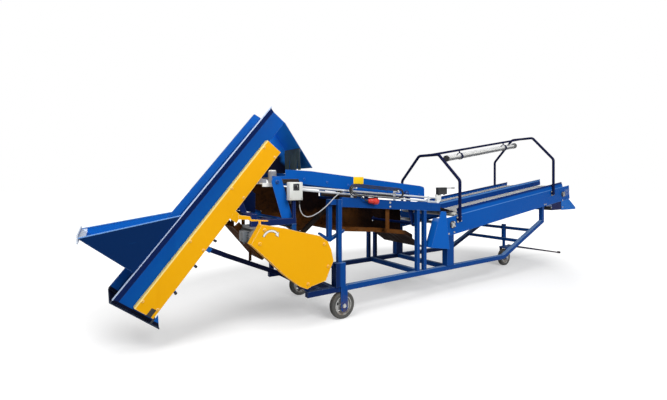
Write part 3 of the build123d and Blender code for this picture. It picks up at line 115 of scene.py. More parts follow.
class Finish(Nodes):  # the shader of a material or of the world
    def __init__(self, owner):
        owner.use_nodes = True
        self.owner = owner
        self.tree = owner.node_tree
        self.tree.nodes.clear()

    def vectors(self, operation, first, second=(0, 0, 0), output=0):
        return self.wire("ShaderNodeVectorMath", {0: first, 1: second}, output, operation=operation)

    def place(self, scale=(1, 1, 1), turn=(0, 0, 0)):
        coords = self.wire("ShaderNodeTexCoord", output="Object")
        return self.wire("ShaderNodeMapping", {"Vector": coords, "Scale": scale, "Rotation": turn})

    def axis(self, name):
        return self.wire("ShaderNodeSeparateXYZ", {0: self.place()}, name)

    def noise(self, scale, detail=2.0, rough=0.5, stretch=(1, 1, 1), turn=(0, 0, 0)):
        sockets = {"Vector": self.place(stretch, turn), "Scale": scale, "Detail": detail, "Roughness": rough}
        return self.wire("ShaderNodeTexNoise", sockets)

    def between(self, value, low, high):  # 0 at low, 1 at high, smooth and held
        sockets = {"Value": value, "From Min": low, "From Max": high}
        return self.wire("ShaderNodeMapRange", sockets, interpolation_type="SMOOTHSTEP")

    def blend(self, first, second, amount):  # each colour is a wire or a screen colour
        first, second = (colour if isinstance(colour, Wire) else tint(colour) for colour in (first, second))
        return self.wire("ShaderNodeMix", {0: amount, 6: first, 7: second}, 2, data_type="RGBA")

    def facing(self, name):  # for Z: 1 on a level top, 0 on a wall, -1 below
        normal = self.wire("ShaderNodeNewGeometry", output="Normal")
        return self.wire("ShaderNodeSeparateXYZ", {0: normal}, name)

    def rounded(self, radius):
        return self.wire("ShaderNodeBevel", {"Radius": radius})

    def edges(self, radius):  # 1 along sharp edges, 0 on flat faces
        flat = self.wire("ShaderNodeNewGeometry", output="Normal")
        alike = self.vectors("DOT_PRODUCT", self.rounded(radius), flat, "Value")
        return self.between(alike, 0.985, 0.80)

    def bump(self, height, strength, distance, radius):
        sockets = {"Height": height, "Strength": strength, "Distance": distance, "Normal": self.rounded(radius)}
        return self.wire("ShaderNodeBump", sockets)

    def close(self, sockets):
        shader = self.wire("ShaderNodeBsdfPrincipled", sockets)
        self.add("ShaderNodeOutputMaterial", {0: shader})
        finishes[self.owner.name] = self.owner


def newFinish(name):
    return Finish(bpy.data.materials.new(name))


# The slopes of the elevator and of the table, as the frame has them
elevator = {"foot": (-3.313, 0.424), "angle": 51.3, "side": 0.168, "guardFace": 0.225}
table = {"foot": (0.207, 0.891), "angle": 7.1, "side": 0.455}


def slopeFrame(slope):
    x, z = slope["foot"]
    return Matrix.Translation((x, 0, z)) @ Matrix.Rotation(radians(-slope["angle"]), 4, "Y")


elevatorFrame = slopeFrame(elevator)
tableFrame = slopeFrame(table)


def onElevator(along, across, y):
    return elevatorFrame @ Vector((along, y, -across))


def onTable(along, up, y):
    return tableFrame @ Vector((along, y, up))


def upright(x, z, y):
    return Vector((x, y, z))


def slopeRun(made, slope):  # the way along a slope's line
    lean = radians(slope["angle"])
    x, z = slope["foot"]
    return (made.axis("X") - x) * cos(lean) + (made.axis("Z") - z) * sin(lean)


def slopeRise(made, slope):  # the height above a slope's line, at right angles to it
    lean = radians(slope["angle"])
    x, z = slope["foot"]
    return (made.axis("Z") - z) * cos(lean) - (made.axis("X") - x) * sin(lean)


# Where a mark lies on a finish: a gate is (sense, 0 at, 1 at), and a stripe's gate also has the stripe's middle
senses = {
    "x": lambda made: made.axis("X"),
    "y": lambda made: made.axis("Y"),
    "z": lambda made: made.axis("Z"),
    "facingY": lambda made: made.facing("Y"),
    "facingZ": lambda made: made.facing("Z"),
    "aboveTable": lambda made: slopeRise(made, table),
    "aboveElevator": lambda made: slopeRise(made, elevator),
    "alongElevator": lambda made: slopeRun(made, elevator),
}


def gated(strength, *gates):
    def where(made):
        amount = strength
        for sense, low, high, *middle in gates:
            value = senses[sense](made)
            if middle:
                value = made.maths("ABSOLUTE", value - middle[0])
            amount = made.between(value, low, high) * amount
        return amount
    return where


nearSide = ("y", 0.1, -0.1)
# painted shade on the table's leaning side board
shadeOnTableBoard = gated(0.8, ("aboveTable", 0.036, 0.062))
# painted highlight along the fold of the table's side
highlightOnTableFold = gated(0.6, ("aboveTable", 0.008, 0.002, 0.0))
# painted highlight along the bead near the divider's top
highlightOnDividerBead = gated(0.7, ("aboveTable", 0.014, 0.006, 0.104))
# painted shade on the elevator's leaning near board
shadeOnElevatorBoard = gated(0.9, ("aboveElevator", 0.030, 0.024, -0.027), nearSide)
# painted highlight along the elevator's near lip
highlightOnElevatorLip = gated(0.95, ("aboveElevator", 0.009, 0.004, -0.003), nearSide)
# painted shade at the elevator's foot
shadeAtElevatorFoot = gated(1.0, ("alongElevator", 0.015, 0.012))
# painted highlight along the guard's outer lip
highlightOnGuardLip = gated(0.8, ("aboveElevator", 0.010, 0.005, -0.158))
bracketOnly = gated(1.0, ("z", 1.2515, 1.2505), ("x", 0.1, -0.1))
# painted shade on faces that look down under the hopper's flare
shadeUnderFlare = gated(0.9, ("facingZ", -0.02, -0.10))
# painted glare at the front end of the hopper's sides
glareOnFrontEdge = gated(1.0, ("x", -3.456, -3.462), ("facingZ", -0.08, 0.0))
# painted glare on the hopper floor's front lip
glareOnFoldedLip = gated(1.0, ("x", -3.458, -3.464))
# painted highlight on the level tops of the frame
highlightOnTops = gated(0.55, ("facingZ", 0.5, 0.9))
# painted shade on the level tops of the end chute
shadeOnLevelTops = gated(0.9, ("facingZ", 0.5, 0.9))
shadeOnInnerFaces = gated(0.85, ("facingY", -0.6, -0.9), ("y", 0.02, 0.10))   # painted shade on the far members' faces on the machine's inside
# painted shade at the frame's front end, low down
shadeAtFrontEnd = gated(0.8, ("x", -1.53, -1.56), ("z", 0.60, 0.50))
# painted shade on the sides of the chute's tray
shadeOnTraySides = gated(1.0, ("x", 2.566, 2.558))
# the hood's inner faces, where painted light and painted shade go
cheekOfHood = gated(1.0, ("facingY", -0.6, -0.9), ("y", 0.10, 0.12))
underHood = gated(1.0, ("facingZ", -0.1, -0.3))
# painted shade low in the head and where the belt turns over
shadeLowInHead = gated(1.0, ("x", -1.79, -1.87), ("z", 1.57, 1.50))
shadeAtHeadTurn = gated(1.0, ("alongElevator", 1.79, 1.71))
pastSieve = gated(0.9, ("x", -0.46, -0.40))
# painted shade at the tail ends of the pan and the wall under the sieve
shadeAtPanTail = gated(0.85, ("x", -0.72, -0.56))
shadeAtWallTail = gated(0.85, ("x", -0.95, -0.62))


def insideHood(made):
    return made.maths("MAXIMUM", cheekOfHood(made), underHood(made))


def shadeInHead(made):  # painted shade in the head, low down and where the belt turns over
    return insideHood(made) * made.maths("MAXIMUM", shadeLowInHead(made), shadeAtHeadTurn(made))


def shadeUnderSieve(made):  # painted shade high on the wall under the sieve, weaker towards the front
    shadeLine = made.axis("Z") + made.noise(3, 3, 0.6) * 0.24
    return made.between(shadeLine, 1.00, 1.10) * (made.between(made.axis("X"), -1.95, -1.55) * 0.47 + 0.45)


soilBrown = (104, 78, 52)
paleSoil = (150, 130, 104)


# Sprayed enamel: slight fading, runs, worn edges, scratches, soil low down and dust on ledges, a painted highlight
# along every edge, and marks of colour by place, many of them painted shade or painted highlight
def enamel(name, paint, marks):  # marks are (where, colour), laid under the wear
    made = newFinish(name)
    fade = made.noise(1.6, 3)
    mottle = made.noise(34, 4, 0.65)
    runs = made.between(made.noise(7, 3, 0.6, (1.0, 1.0, 0.08)), 0.56, 0.80)
    nicks = made.between(made.noise(55, 5, 0.7), 0.48, 0.68)
    worn = made.edges(paint["edge"]) * nicks * paint["wear"]
    scuffs = made.between(made.noise(9, 6, 0.75, (0.22, 1.0, 3.2), (0, radians(32), 0)), 0.66, 0.74)
    splash = made.between(made.axis("Z"), paint["splash"], 0.03) * made.between(mottle, 0.36, 0.62)
    dust = made.between(made.facing("Z"), 0.35, 0.95) * made.between(made.noise(5, 4, 0.6), 0.30, 0.75)
    soil = made.maths("MAXIMUM", splash * 0.75, dust * paint["dust"])
    colour = made.blend(paint["colour"], paint["deep"], fade * 0.55)
    colour = made.blend(colour, paint["faded"], mottle * 0.16)
    colour = made.blend(colour, paint["deep"], runs * 0.30)
    for where, shade in marks:
        colour = made.blend(colour, shade, where(made))
    colour = made.blend(colour, paint["faded"], scuffs * 0.35)
    colour = made.blend(colour, paint["under"], worn)
    # painted highlight: every edge is lightened by the rim amount
    colour = made.blend(colour, paint["under"], made.edges(0.007) * paint["rim"])
    colour = made.blend(colour, soilBrown, soil)
    peel = made.noise(420, 2, 0.5) * 0.35 + made.noise(5, 2) * 0.65 + soil * 0.5
    made.close({
        "Base Color": colour, "Roughness": paint["rough"] + mottle * 0.14 + soil * 0.35 + scuffs * 0.12,
        "Normal": made.bump(peel, 0.16, 0.004, paint["edge"]), "Coat Weight": paint["coat"], "Coat Roughness": 0.12,
        "Specular IOR Level": 0.05,
    })


# rim is the strength of a painted highlight along the edges
paintKeys = ("colour", "deep", "faded", "under", "edge", "wear", "rim", "splash", "dust", "rough", "coat")
sheetPaint = dict(zip(paintKeys, (
    (2, 84, 172), (0, 66, 148), (24, 106, 190), (140, 172, 212), 0.0022, 0.75, 0.25, 0.22, 0.08, 0.40, 0.03)))
sheetTone = (sheetPaint["colour"], sheetPaint["deep"])
# painted light: a lighter copy of the sheet blue
litTone = ((10, 94, 186), (4, 76, 162))
navyShade = (10, 24, 78)
# pale blue of the painted highlights on the table's fold and the divider's bead
highlightBlue = (96, 150, 214)
# pale tone of the painted glare at the hopper's front
glareTone = (206, 214, 226)
footShade = (8, 14, 40)
sheets = {   # colour and deep colour, then the marks
    "blueSheet": (sheetTone,),
    # painted shade on the leaning board, painted highlight along the fold
    "tableSheet": (sheetTone, (shadeOnTableBoard, navyShade), (highlightOnTableFold, highlightBlue)),
    # painted highlight along the divider's bead
    "dividerSheet": (((0, 52, 128), (0, 38, 104)), (highlightOnDividerBead, highlightBlue)),
    # painted shade on the near board and at the foot, painted highlight on the near lip
    "elevatorSheet": (sheetTone, (shadeOnElevatorBoard, navyShade), (highlightOnElevatorLip, (200, 216, 246)),
                      (shadeAtElevatorFoot, footShade)),
    # painted light: lighter paint on the hood's inner faces, and painted shade in the head
    "hoodSheet": (sheetTone, (insideHood, (38, 142, 252)), (shadeInHead, (10, 14, 36))),
    # painted light: the lighter copy of the sheet blue
    "litSheet": (litTone,),
    # painted shade at the elevator's foot
    "footSheet": (litTone, (shadeAtElevatorFoot, footShade)),
    # painted shade under the flare, painted glare at the front edge
    "hopperSheet": (((10, 98, 194), (4, 80, 170)), (shadeUnderFlare, (0, 27, 68)), (glareOnFrontEdge, glareTone)),
    # painted glare on the hopper floor's front lip
    "lipSheet": (sheetTone, (glareOnFoldedLip, glareTone)),
    # painted highlight: pale blue for the rolled rims
    "rimHighlightSheet": (((120, 164, 220), (84, 132, 198)),),
    # painted shade on level tops and on the tray's sides
    "chuteSheet": (((24, 112, 204), (12, 94, 182)), (shadeOnLevelTops, (10, 30, 74)), (shadeOnTraySides, navyShade)),
}
for name, ((colour, deep), *marks) in sheets.items():
    enamel(name, {**sheetPaint, "colour": colour, "deep": deep}, marks)

paints = {   # in the order of paintKeys
    "blueFrame": ((6, 68, 144), (2, 46, 108), (34, 94, 166), (130, 156, 194),
                  0.0030, 0.80, 0.25, 0.30, 0.12, 0.42, 0.03),
    "navyTube": ((10, 18, 58), (6, 10, 38), (30, 46, 96), (100, 118, 150),
                 0.0022, 0.60, 0.25, 0.20, 0.10, 0.42, 0.03),
    "shadedFrame": ((8, 34, 92), (4, 22, 66), (28, 58, 124), (150, 160, 180),
                    0.0030, 0.90, 0.25, 0.20, 0.20, 0.45, 0.03),
    "yellowGuard": ((240, 174, 4), (226, 152, 0), (246, 194, 44), (250, 232, 176),
                    0.0026, 0.95, 0.75, 0.20, 0.06, 0.44, 0.03),
    "plateYellow": ((250, 206, 24), (240, 190, 8), (252, 220, 90), (250, 240, 200),
                    0.0010, 0.50, 0.0, 0.05, 0.06, 0.34, 0.20),
    "greyMotor": ((118, 124, 130), (84, 90, 96), (150, 154, 158), (190, 190, 190),
                  0.0020, 0.60, 0.25, 0.20, 0.30, 0.40, 0.10),
    "motorAndBracket": ((150, 152, 160), (112, 116, 124), (178, 180, 186), (206, 206, 206),
                        0.0020, 0.50, 0.25, 0.10, 0.40, 0.42, 0.03),
    "wheelCentre": ((200, 202, 200), (164, 166, 164), (216, 216, 214), (120, 104, 88),
                    0.0020, 0.70, 0.25, 0.16, 0.25, 0.42, 0.0),
}
paintMarks = {
    # painted highlight on level tops, painted shade on the far members' inner faces and at the front end
    "blueFrame": [(highlightOnTops, (128, 164, 206)), (shadeOnInnerFaces, (8, 22, 62)), (shadeAtFrontEnd, (10, 26, 72))],
    # painted highlight along the guard's lip
    "yellowGuard": [(highlightOnGuardLip, (255, 236, 150))],
    "motorAndBracket": [(bracketOnly, (238, 238, 234))],
}
for name, values in paints.items():
    enamel(name, dict(zip(paintKeys, values)), paintMarks.get(name, []))


# Sheet that soil has slid over: brown film, bright tracks, rust at the edges
def soiledSheet(name, *marks):
    made = newFinish(name)
    tracks = made.between(made.noise(16, 4, 0.6, (0.12, 1.0, 0.12)), 0.46, 0.66)
    clots = made.between(made.noise(26, 6, 0.72), 0.44, 0.64)
    grain = made.noise(210, 4, 0.7)
    colour = made.blend((100, 58, 18), (64, 36, 10), clots)
    colour = made.blend(colour, (122, 80, 40), tracks * 0.5)
    colour = made.blend(colour, (50, 29, 17), grain * 0.45)
    colour = made.blend(colour, (122, 62, 28), made.edges(0.003) * 0.7)
    for where, shade in marks:
        colour = made.blend(colour, shade, where(made))
    made.close({
        "Base Color": colour, "Roughness": 0.86 - tracks * 0.28, "Specular IOR Level": 0.08,
        "Normal": made.bump(clots * 0.6 + grain * 0.4, 0.45, 0.004, 0.002),
    })


# near-black of the painted shade on the soiled sheets under the sieve
shadedSoil = (6, 5, 12)
# painted shade under the sieve and at the wall's tail end
soiledSheet("soiledWall", (shadeUnderSieve, shadedSoil), (shadeAtWallTail, shadedSoil))
soiledSheet("soiledSlide", (pastSieve, (42, 30, 22)))
# painted shade at the pan's tail end
soiledSheet("soiledPan", (shadeAtPanTail, shadedSoil))


def bareMetal(name, colour, deep, stretch, rustFrom, rough):
    made = newFinish(name)
    grain = made.noise(90, 3, 0.6, stretch)
    blotch = made.noise(9, 5, 0.65)
    rust = made.between(blotch, rustFrom, 0.78)
    colour = made.blend(made.blend(colour, deep, grain * 0.7), (120, 74, 44), rust * 0.8)
    made.close({
        "Base Color": colour, "Roughness": rough + grain * 0.18 + rust * 0.35, "Metallic": 1 - rust * 0.85,
        "Normal": made.bump(grain * 0.7 + blotch * 0.3, 0.22, 0.002, 0.0015),
    })


bareMetal("brightSteel", (196, 198, 200), (150, 152, 156), (1, 0.08, 1), rustFrom=0.60, rough=0.26)
bareMetal("zincSteel", (206, 206, 202), (164, 164, 160), (1, 1, 1), rustFrom=0.70, rough=0.34)
bareMetal("dullSteel", (120, 112, 104), (80, 72, 64), (1, 0.1, 1), rustFrom=0.40, rough=0.50)
bareMetal("darkRod", (58, 52, 48), (36, 32, 30), (1, 1, 1), rustFrom=0.50, rough=0.62)
bareMetal("castIron", (112, 114, 118), (78, 80, 84), (1, 1, 1), rustFrom=0.52, rough=0.52)


# Moulded plastics and rubbers: fine grain, slight staining, soil where it gathers
def moulded(name, colour, stain, worn, grain, dust, rough, bump, shine):
    made = newFinish(name)
    fine = made.noise(grain, 3, 0.6)
    stained = made.between(made.noise(6, 4, 0.6), 0.42, 0.76)
    soil = made.between(made.facing("Z"), 0.2, 0.95) * made.between(made.noise(14, 4, 0.6), 0.35, 0.72)
    colour = made.blend(colour, stain, stained * 0.6)
    colour = made.blend(colour, worn, made.edges(0.0015) * 0.45)
    colour = made.blend(colour, paleSoil, soil * dust)
    made.close({
        "Base Color": colour, "Roughness": rough + fine * 0.12 + soil * 0.2, "Specular IOR Level": shine,
        "Normal": made.bump(fine, bump, 0.0015, 0.0015),
    })


plastics = {   # colour, stain, worn, grain, dust, rough, bump, shine
    "paleRoller": ((222, 222, 214), (196, 190, 174), (236, 236, 230), 160, 0.25, 0.40, 0.10, 0.5),
    "greyBox": ((216, 218, 214), (196, 196, 188), (236, 236, 232), 300, 0.20, 0.42, 0.12, 0.5),
    "darkMetal": ((34, 36, 44), (52, 52, 56), (90, 92, 98), 260, 0.12, 0.40, 0.10, 0.5),
    "blackPlastic": ((26, 26, 28), (40, 40, 42), (66, 66, 68), 300, 0.20, 0.42, 0.14, 0.5),
    "redPlug": ((206, 44, 30), (170, 34, 26), (226, 92, 74), 260, 0.15, 0.38, 0.12, 0.5),
    "tyreRubber": ((82, 82, 80), (106, 103, 98), (156, 152, 146), 120, 0.45, 0.72, 0.30, 0.3),
    "beltRubber": ((34, 34, 36), (70, 58, 46), (70, 68, 66), 140, 0.45, 0.66, 0.25, 0.3),
    "curtainRubber": ((62, 78, 84), (44, 52, 54), (96, 108, 112), 140, 0.30, 0.66, 0.25, 0.3),
    "blackSheath": ((28, 28, 30), (48, 46, 44), (60, 60, 60), 200, 0.30, 0.52, 0.14, 0.4),
    "greySheath": ((176, 178, 182), (148, 148, 150), (200, 200, 202), 200, 0.25, 0.50, 0.14, 0.4),
    "whitePaint": ((236, 236, 232), (216, 214, 206), (244, 244, 242), 240, 0.15, 0.42, 0.08, 0.5),
    "conduitPlastic": ((204, 208, 212), (176, 178, 180), (228, 230, 232), 240, 0.20, 0.42, 0.08, 0.5),
}
for name, values in plastics.items():
    moulded(name, *values)

made = newFinish("clearTube")
film = made.between(made.noise(9, 5, 0.65), 0.40, 0.75)
made.close({
    "Base Color": made.blend((236, 240, 244), (196, 190, 176), film * 0.6), "IOR": 1.45,
    "Roughness": 0.10 + film * 0.25, "Alpha": 0.10 + film * 0.14,
})
print("finishes made,", len(finishes))


# Makers of mesh: a piece is made in its place, then kept on the body that carries it
sharpAngle = radians(36)
shape = bmesh.new()   # the piece in the making, emptied when it is kept


def ride(piece, body, hides=()):
    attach(piece, body)
    if hides:
        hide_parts(*hides)
    return piece


def keep(name, finish, body="frame", hides=()):
    mesh = bpy.data.meshes.new(name)
    shape.to_mesh(mesh)
    shape.clear()
    for face in mesh.polygons:
        face.use_smooth = True
    mesh.set_sharp_from_angle(angle=sharpAngle)
    mesh.materials.append(finishes[finish])
    return ride(placed(name, mesh), body, hides)


def lofted(loops, hollow=False):  # a skin over loops of points, with caps or closed on itself
    loops = [[shape.verts.new(point) for point in loop] for loop in loops]
    pairs = list(zip(loops, loops[1:]))
    faces = []
    if hollow:
        pairs.append((loops[-1], loops[0]))
    else:
        faces = [shape.faces.new(list(reversed(loops[0]))), shape.faces.new(loops[-1])]
    for first, second in pairs:
        for step in range(len(first)):
            after = (step + 1) % len(first)
            faces.append(shape.faces.new((first[step], first[after], second[after], second[step])))
    return faces


def turned(start, way, rings, sides=48, hollow=False):  # rings are (distance, radius) along an axis
    way = Vector(way).normalized()
    across = way.orthogonal().normalized()
    up = way.cross(across)
    outs = [across * cos(2 * pi * step / sides) + up * sin(2 * pi * step / sides) for step in range(sides)]
    lofted([[Vector(start) + way * distance + out * radius for out in outs] for distance, radius in rings], hollow)


def slab(low, high, bevel, place=Matrix()):  # a block with rounded edges
    corners = bmesh.ops.create_cube(shape, size=1.0)["verts"]
    middle = (Vector(low) + Vector(high)) / 2
    size = Vector(high) - Vector(low)
    for corner in corners:
        corner.co = place @ (middle + corner.co * size)
    edges = list({edge for corner in corners for edge in corner.link_edges})
    bmesh.ops.bevel(shape, geom=edges, offset=bevel, segments=2, profile=0.5, affect="EDGES", clamp_overlap=True)


def plate(corners, depth):  # an outline pushed along depth
    upper = [Vector(corner) + Vector(depth) for corner in corners]
    bmesh.ops.recalc_face_normals(shape, faces=lofted([upper, corners]))


# Grown pieces: a Geometry Nodes tree with named sizes repeats a small form over points or lines
class Growth(Nodes):
    def __init__(self, name, *sizes):
        self.tree = bpy.data.node_groups.new(name, "GeometryNodeTree")
        face = self.tree.interface
        face.new_socket("Geometry", in_out="OUTPUT", socket_type="NodeSocketGeometry")
        self.idents = {}
        for key, kind in {"Geometry": "Geometry", **dict.fromkeys(sizes, "Float"), "Material": "Material"}.items():
            self.idents[key] = face.new_socket(key, in_out="INPUT", socket_type="NodeSocket" + kind).identifier
        self.start = self.add("NodeGroupInput")

    def given(self, key):
        return Wire(self, self.start.outputs[key])

    def block(self, *keys):
        size = {axis: self.given(key) for axis, key in zip("XYZ", keys)}
        return self.wire("GeometryNodeMeshCube", {"Size": self.wire("ShaderNodeCombineXYZ", size)})

    def drum(self, sides, radius, depth):
        sockets = {"Vertices": sides, "Radius": self.given(radius), "Depth": self.given(depth)}
        return self.wire("GeometryNodeMeshCylinder", sockets)

    def moved(self, form, axis, distance):
        shift = self.wire("ShaderNodeCombineXYZ", {axis: distance})
        return self.wire("GeometryNodeTransform", {"Geometry": form, "Translation": shift})

    def joined(self, *forms):
        node = self.add("GeometryNodeJoinGeometry")
        for form in reversed(forms):
            self.tree.links.new(form.socket, node.inputs[0])
        return Wire(self, node.outputs[0])

    def seeded(self, low, high, seed):
        return self.wire("FunctionNodeRandomValue", {2: low, 3: high, "Seed": seed}, 1, data_type="FLOAT")

    def repeated(self, points, form, **sockets):
        found = self.wire("GeometryNodeInstanceOnPoints", {"Points": points, "Instance": form, **sockets})
        real = self.wire("GeometryNodeRealizeInstances", {"Geometry": found})
        done = self.wire("GeometryNodeSetMaterial", {"Geometry": real, "Material": self.given("Material")})
        self.add("NodeGroupOutput", {0: done})

    def grow(self, name, places, sizes, finish, body="frame", edges=(), facings=()):
        mesh = bpy.data.meshes.new(name + "Seed")
        mesh.from_pydata([tuple(place) for place in places], edges, [])
        if facings:
            slots = mesh.attributes.new("facing", "FLOAT_VECTOR", "POINT").data
            for slot, facing in zip(slots, facings):
                slot.vector = facing
        seed = placed(name + "Seed", mesh)
        modifier = seed.modifiers.new("grow", "NODES")
        modifier.node_group = self.tree
        for key, value in {**sizes, "Material": finishes[finish]}.items():
            modifier[self.idents[key]] = value
        seen = seed.evaluated_get(bpy.context.evaluated_depsgraph_get())
        grown = bpy.data.meshes.new_from_object(seen)
        grown.name = name
        bpy.data.objects.remove(seed)
        return ride(placed(name, grown), body)


print("makers ready")

# Hex bolts and nuts with washers: Z turns to the point's facing, with a small seeded twist about it
bolts = {
    "small": {"Head Radius": 0.0085, "Head Height": 0.006, "Washer Radius": 0.0115, "Washer Height": 0.0015},
    "large": {"Head Radius": 0.0150, "Head Height": 0.010, "Washer Radius": 0.0195, "Washer Height": 0.0025},
    "twist": 1.05, "seed": 7,
    "hood": [(1.690, across) for across in (0.225, 0.275, 0.320)],
    "guards": [(along, across) for along in (0.10, 0.62, 1.14, 1.59) for across in (0.172, 0.299)],
    "ties": [(along, 0.340) for along in (0.251, 0.487, 0.729)],
    "archX": (0.119, 2.282), "archLine": (0.86, 0.124),
    "archFoot": [(-0.031, -0.075), (0.031, -0.075), (-0.031, -0.026), (0.031, -0.026)],
    "shafts": [(2.400, -0.110), (-0.215, -0.090)],
    "shaftPlate": [(-0.022, -0.022), (0.022, -0.022), (-0.022, 0.022), (0.022, 0.022)],
    "panels": [(along, -0.185) for along in (-0.285, -0.190, 1.840, 1.885)],
    "deck": [(x, 1.237 - 0.11326 * (x + 1.848) + 0.046) for x in (-1.86, -1.62, -1.38, -1.14, -0.90, -0.66, -0.42)],
    "pieces": {   # size, finish and body
        "frameBolts": ("small", "zincSteel", "frame"),
        "guardBolts": ("small", "yellowGuard", "frame"),
        "tieNuts": ("small", "darkMetal", "frame"),
        "frameNuts": ("large", "zincSteel", "frame"),
        "sieveBolts": ("small", "blueSheet", "sieve"),
        "sievePivotNuts": ("large", "blueFrame", "sieve"),
        "steeringNuts": ("large", "zincSteel", "steering"),
    },
}
boltTree = Growth("hexBolts", *bolts["small"])
headHeight = boltTree.given("Head Height")
washerHeight = boltTree.given("Washer Height")
head = boltTree.moved(boltTree.drum(6, "Head Radius", "Head Height"), "Z", washerHeight + headHeight * 0.5)
washer = boltTree.moved(boltTree.drum(14, "Washer Radius", "Washer Height"), "Z", washerHeight * 0.5)
facing = boltTree.wire("GeometryNodeInputNamedAttribute", {"Name": "facing"}, data_type="FLOAT_VECTOR")
lookout = boltTree.wire("FunctionNodeAlignRotationToVector", {"Vector": facing}, axis="Z")
twist = boltTree.seeded(0.0, bolts["twist"], bolts["seed"])
spin = boltTree.wire("FunctionNodeAxisAngleToRotation", {"Axis": (0, 0, 1), "Angle": twist})
aimed = boltTree.wire("FunctionNodeRotateRotation", {0: lookout, 1: spin}, rotation_space="LOCAL")
boltTree.repeated(boltTree.given("Geometry"), boltTree.joined(head, washer), Rotation=aimed)


def around(middles, offsets):
    return [(along + left, up + rise) for along, up in middles for left, rise in offsets]


archBase, archSlope = bolts["archLine"]
archFeet = [((tableFrame.inverted() @ Vector((x, 0, archBase + archSlope * x))).x, 0) for x in bolts["archX"]]
boltGroups = [   # piece, way to place a point, points, distance from the middle, 1 to face out and -1 in
    ("guardBolts", onElevator, bolts["guards"], elevator["guardFace"], 1),
    ("tieNuts", onElevator, bolts["ties"], 0.200, 1),
    ("frameBolts", onTable, around(archFeet, bolts["archFoot"]), 0.461, 1),
    ("frameBolts", onTable, around(bolts["shafts"], bolts["shaftPlate"]), 0.473, 1),
    ("frameBolts", onTable, bolts["panels"], table["side"], 1),
    ("frameBolts", upright, [(-0.925, 1.012), (-0.925, 1.052)], 0.436, 1),
    ("frameBolts", upright, [(2.600, 0.880), (2.600, 0.985)], table["side"], 1),
    ("frameNuts", upright, [(-1.5, 0.125)], 0.456, 1),
    ("frameNuts", upright, [(-1.5, 0.125)], 0.376, -1),
    ("sieveBolts", upright, bolts["deck"], 0.350, 1),
    ("sievePivotNuts", upright, [(-2.126, 1.258), (-0.622, 1.140)], 0.3645, 1),
    ("steeringNuts", upright, [(1.775, 0.125)], 0.050, 1),
    ("steeringNuts", upright, [(1.950, 0.278)], 0.030, 1),
]
spots = {name: [] for name in bolts["pieces"]}
spots["frameBolts"] += [(onElevator(*point, elevator["side"]), (0, 1, 0)) for point in bolts["hood"]]
for hand in (-1, 1):
    for name, onto, points, y, out in boltGroups:
        spots[name] += [(onto(*point, hand * y), (0, hand * out, 0)) for point in points]
for name, (size, finish, body) in bolts["pieces"].items():
    places, facings = zip(*spots[name])
    boltTree.grow(name, places, bolts[size], finish, body, facings=facings)

# Weld beads along the joints of the frame
welds = {
    "sizes": {"Bead Radius": 0.0038, "Bead Step": 0.0048}, "swell": (0.8, 1.2), "seed": 3,
    "crossBars": (-1.735, -1.600, -0.467, -0.018), "barHalf": 0.025, "barSide": 0.391, "barTop": 0.305,
    "twinLegs": (-0.520, -0.415), "legHalf": 0.02, "legSides": (0.396, 0.436),
    "legTop": (0.933, -0.0723, 0.175),   # height, slope and shift of the line where the legs end
    "runs": [   # on the far side; the near side mirrors them
        [(-1.554, 0.396, 0.520), (-1.554, 0.436, 0.520), (-1.514, 0.436, 0.520), (-1.514, 0.396, 0.520)],
        [(-1.514, 0.436, 1.0305), (-1.514, 0.436, 1.100)],
        [(1.063, 0.391, 0.305), (1.063, 0.441, 0.305)],
        [(-2.010, 0.410, 0.900), (-1.970, 0.410, 0.900)],
        [(-2.320, 0.410, 0.950), (-2.320, 0.370, 0.950)],
        [(1.755, 0.391, 0.555), (1.755, 0.391, 0.595)],
        [(1.795, 0.391, 0.555), (1.795, 0.391, 0.595)],
    ],
    "headX": 1.775, "headRadius": 0.032, "headZ": (0.555, 0.595),
}
weldTree = Growth("weldBeads", *welds["sizes"])
line = weldTree.wire("GeometryNodeMeshToCurve", {"Mesh": weldTree.given("Geometry")})
beadStep = weldTree.given("Bead Step")
steps = weldTree.wire("GeometryNodeResampleCurve", {"Curve": line, "Length": beadStep}, mode="LENGTH")
beadSize = {"Radius": weldTree.given("Bead Radius"), "Subdivisions": 1}
bead = weldTree.wire("GeometryNodeMeshIcoSphere", beadSize)
weldTree.repeated(steps, bead, Scale=weldTree.seeded(*welds["swell"], welds["seed"]))

half, y, top = welds["barHalf"], welds["barSide"], welds["barTop"]
sideRuns = [[(x - half, y, top), (x + half, y, top)] for x in welds["crossBars"]]
half = welds["legHalf"]
inner, outer = welds["legSides"]
legBase, legSlope, legShift = welds["legTop"]
for x in welds["twinLegs"]:
    foot = [(x - half, inner), (x - half, outer), (x + half, outer), (x + half, inner)]
    sideRuns.append([(px, py, top) for px, py in foot])
    sideRuns.append([(px, py, legBase + legSlope * (px + legShift)) for px, py in foot])
sideRuns += welds["runs"]
weldRuns = [[(x, hand * y, z) for x, y, z in run] for hand in (-1, 1) for run in sideRuns]
x, radius = welds["headX"], welds["headRadius"]
turns = [radians(15 * step) for step in range(25)]
weldRuns += [[(x + radius * cos(turn), radius * sin(turn), z) for turn in turns] for z in welds["headZ"]]
runPoints = []
runEdges = []
for run in weldRuns:
    runEdges += [(len(runPoints) + step, len(runPoints) + step + 1) for step in range(len(run) - 1)]
    runPoints += run
weldTree.grow("frameWelds", runPoints, welds["sizes"], "blueFrame", edges=runEdges)
print("bolts and welds grown")

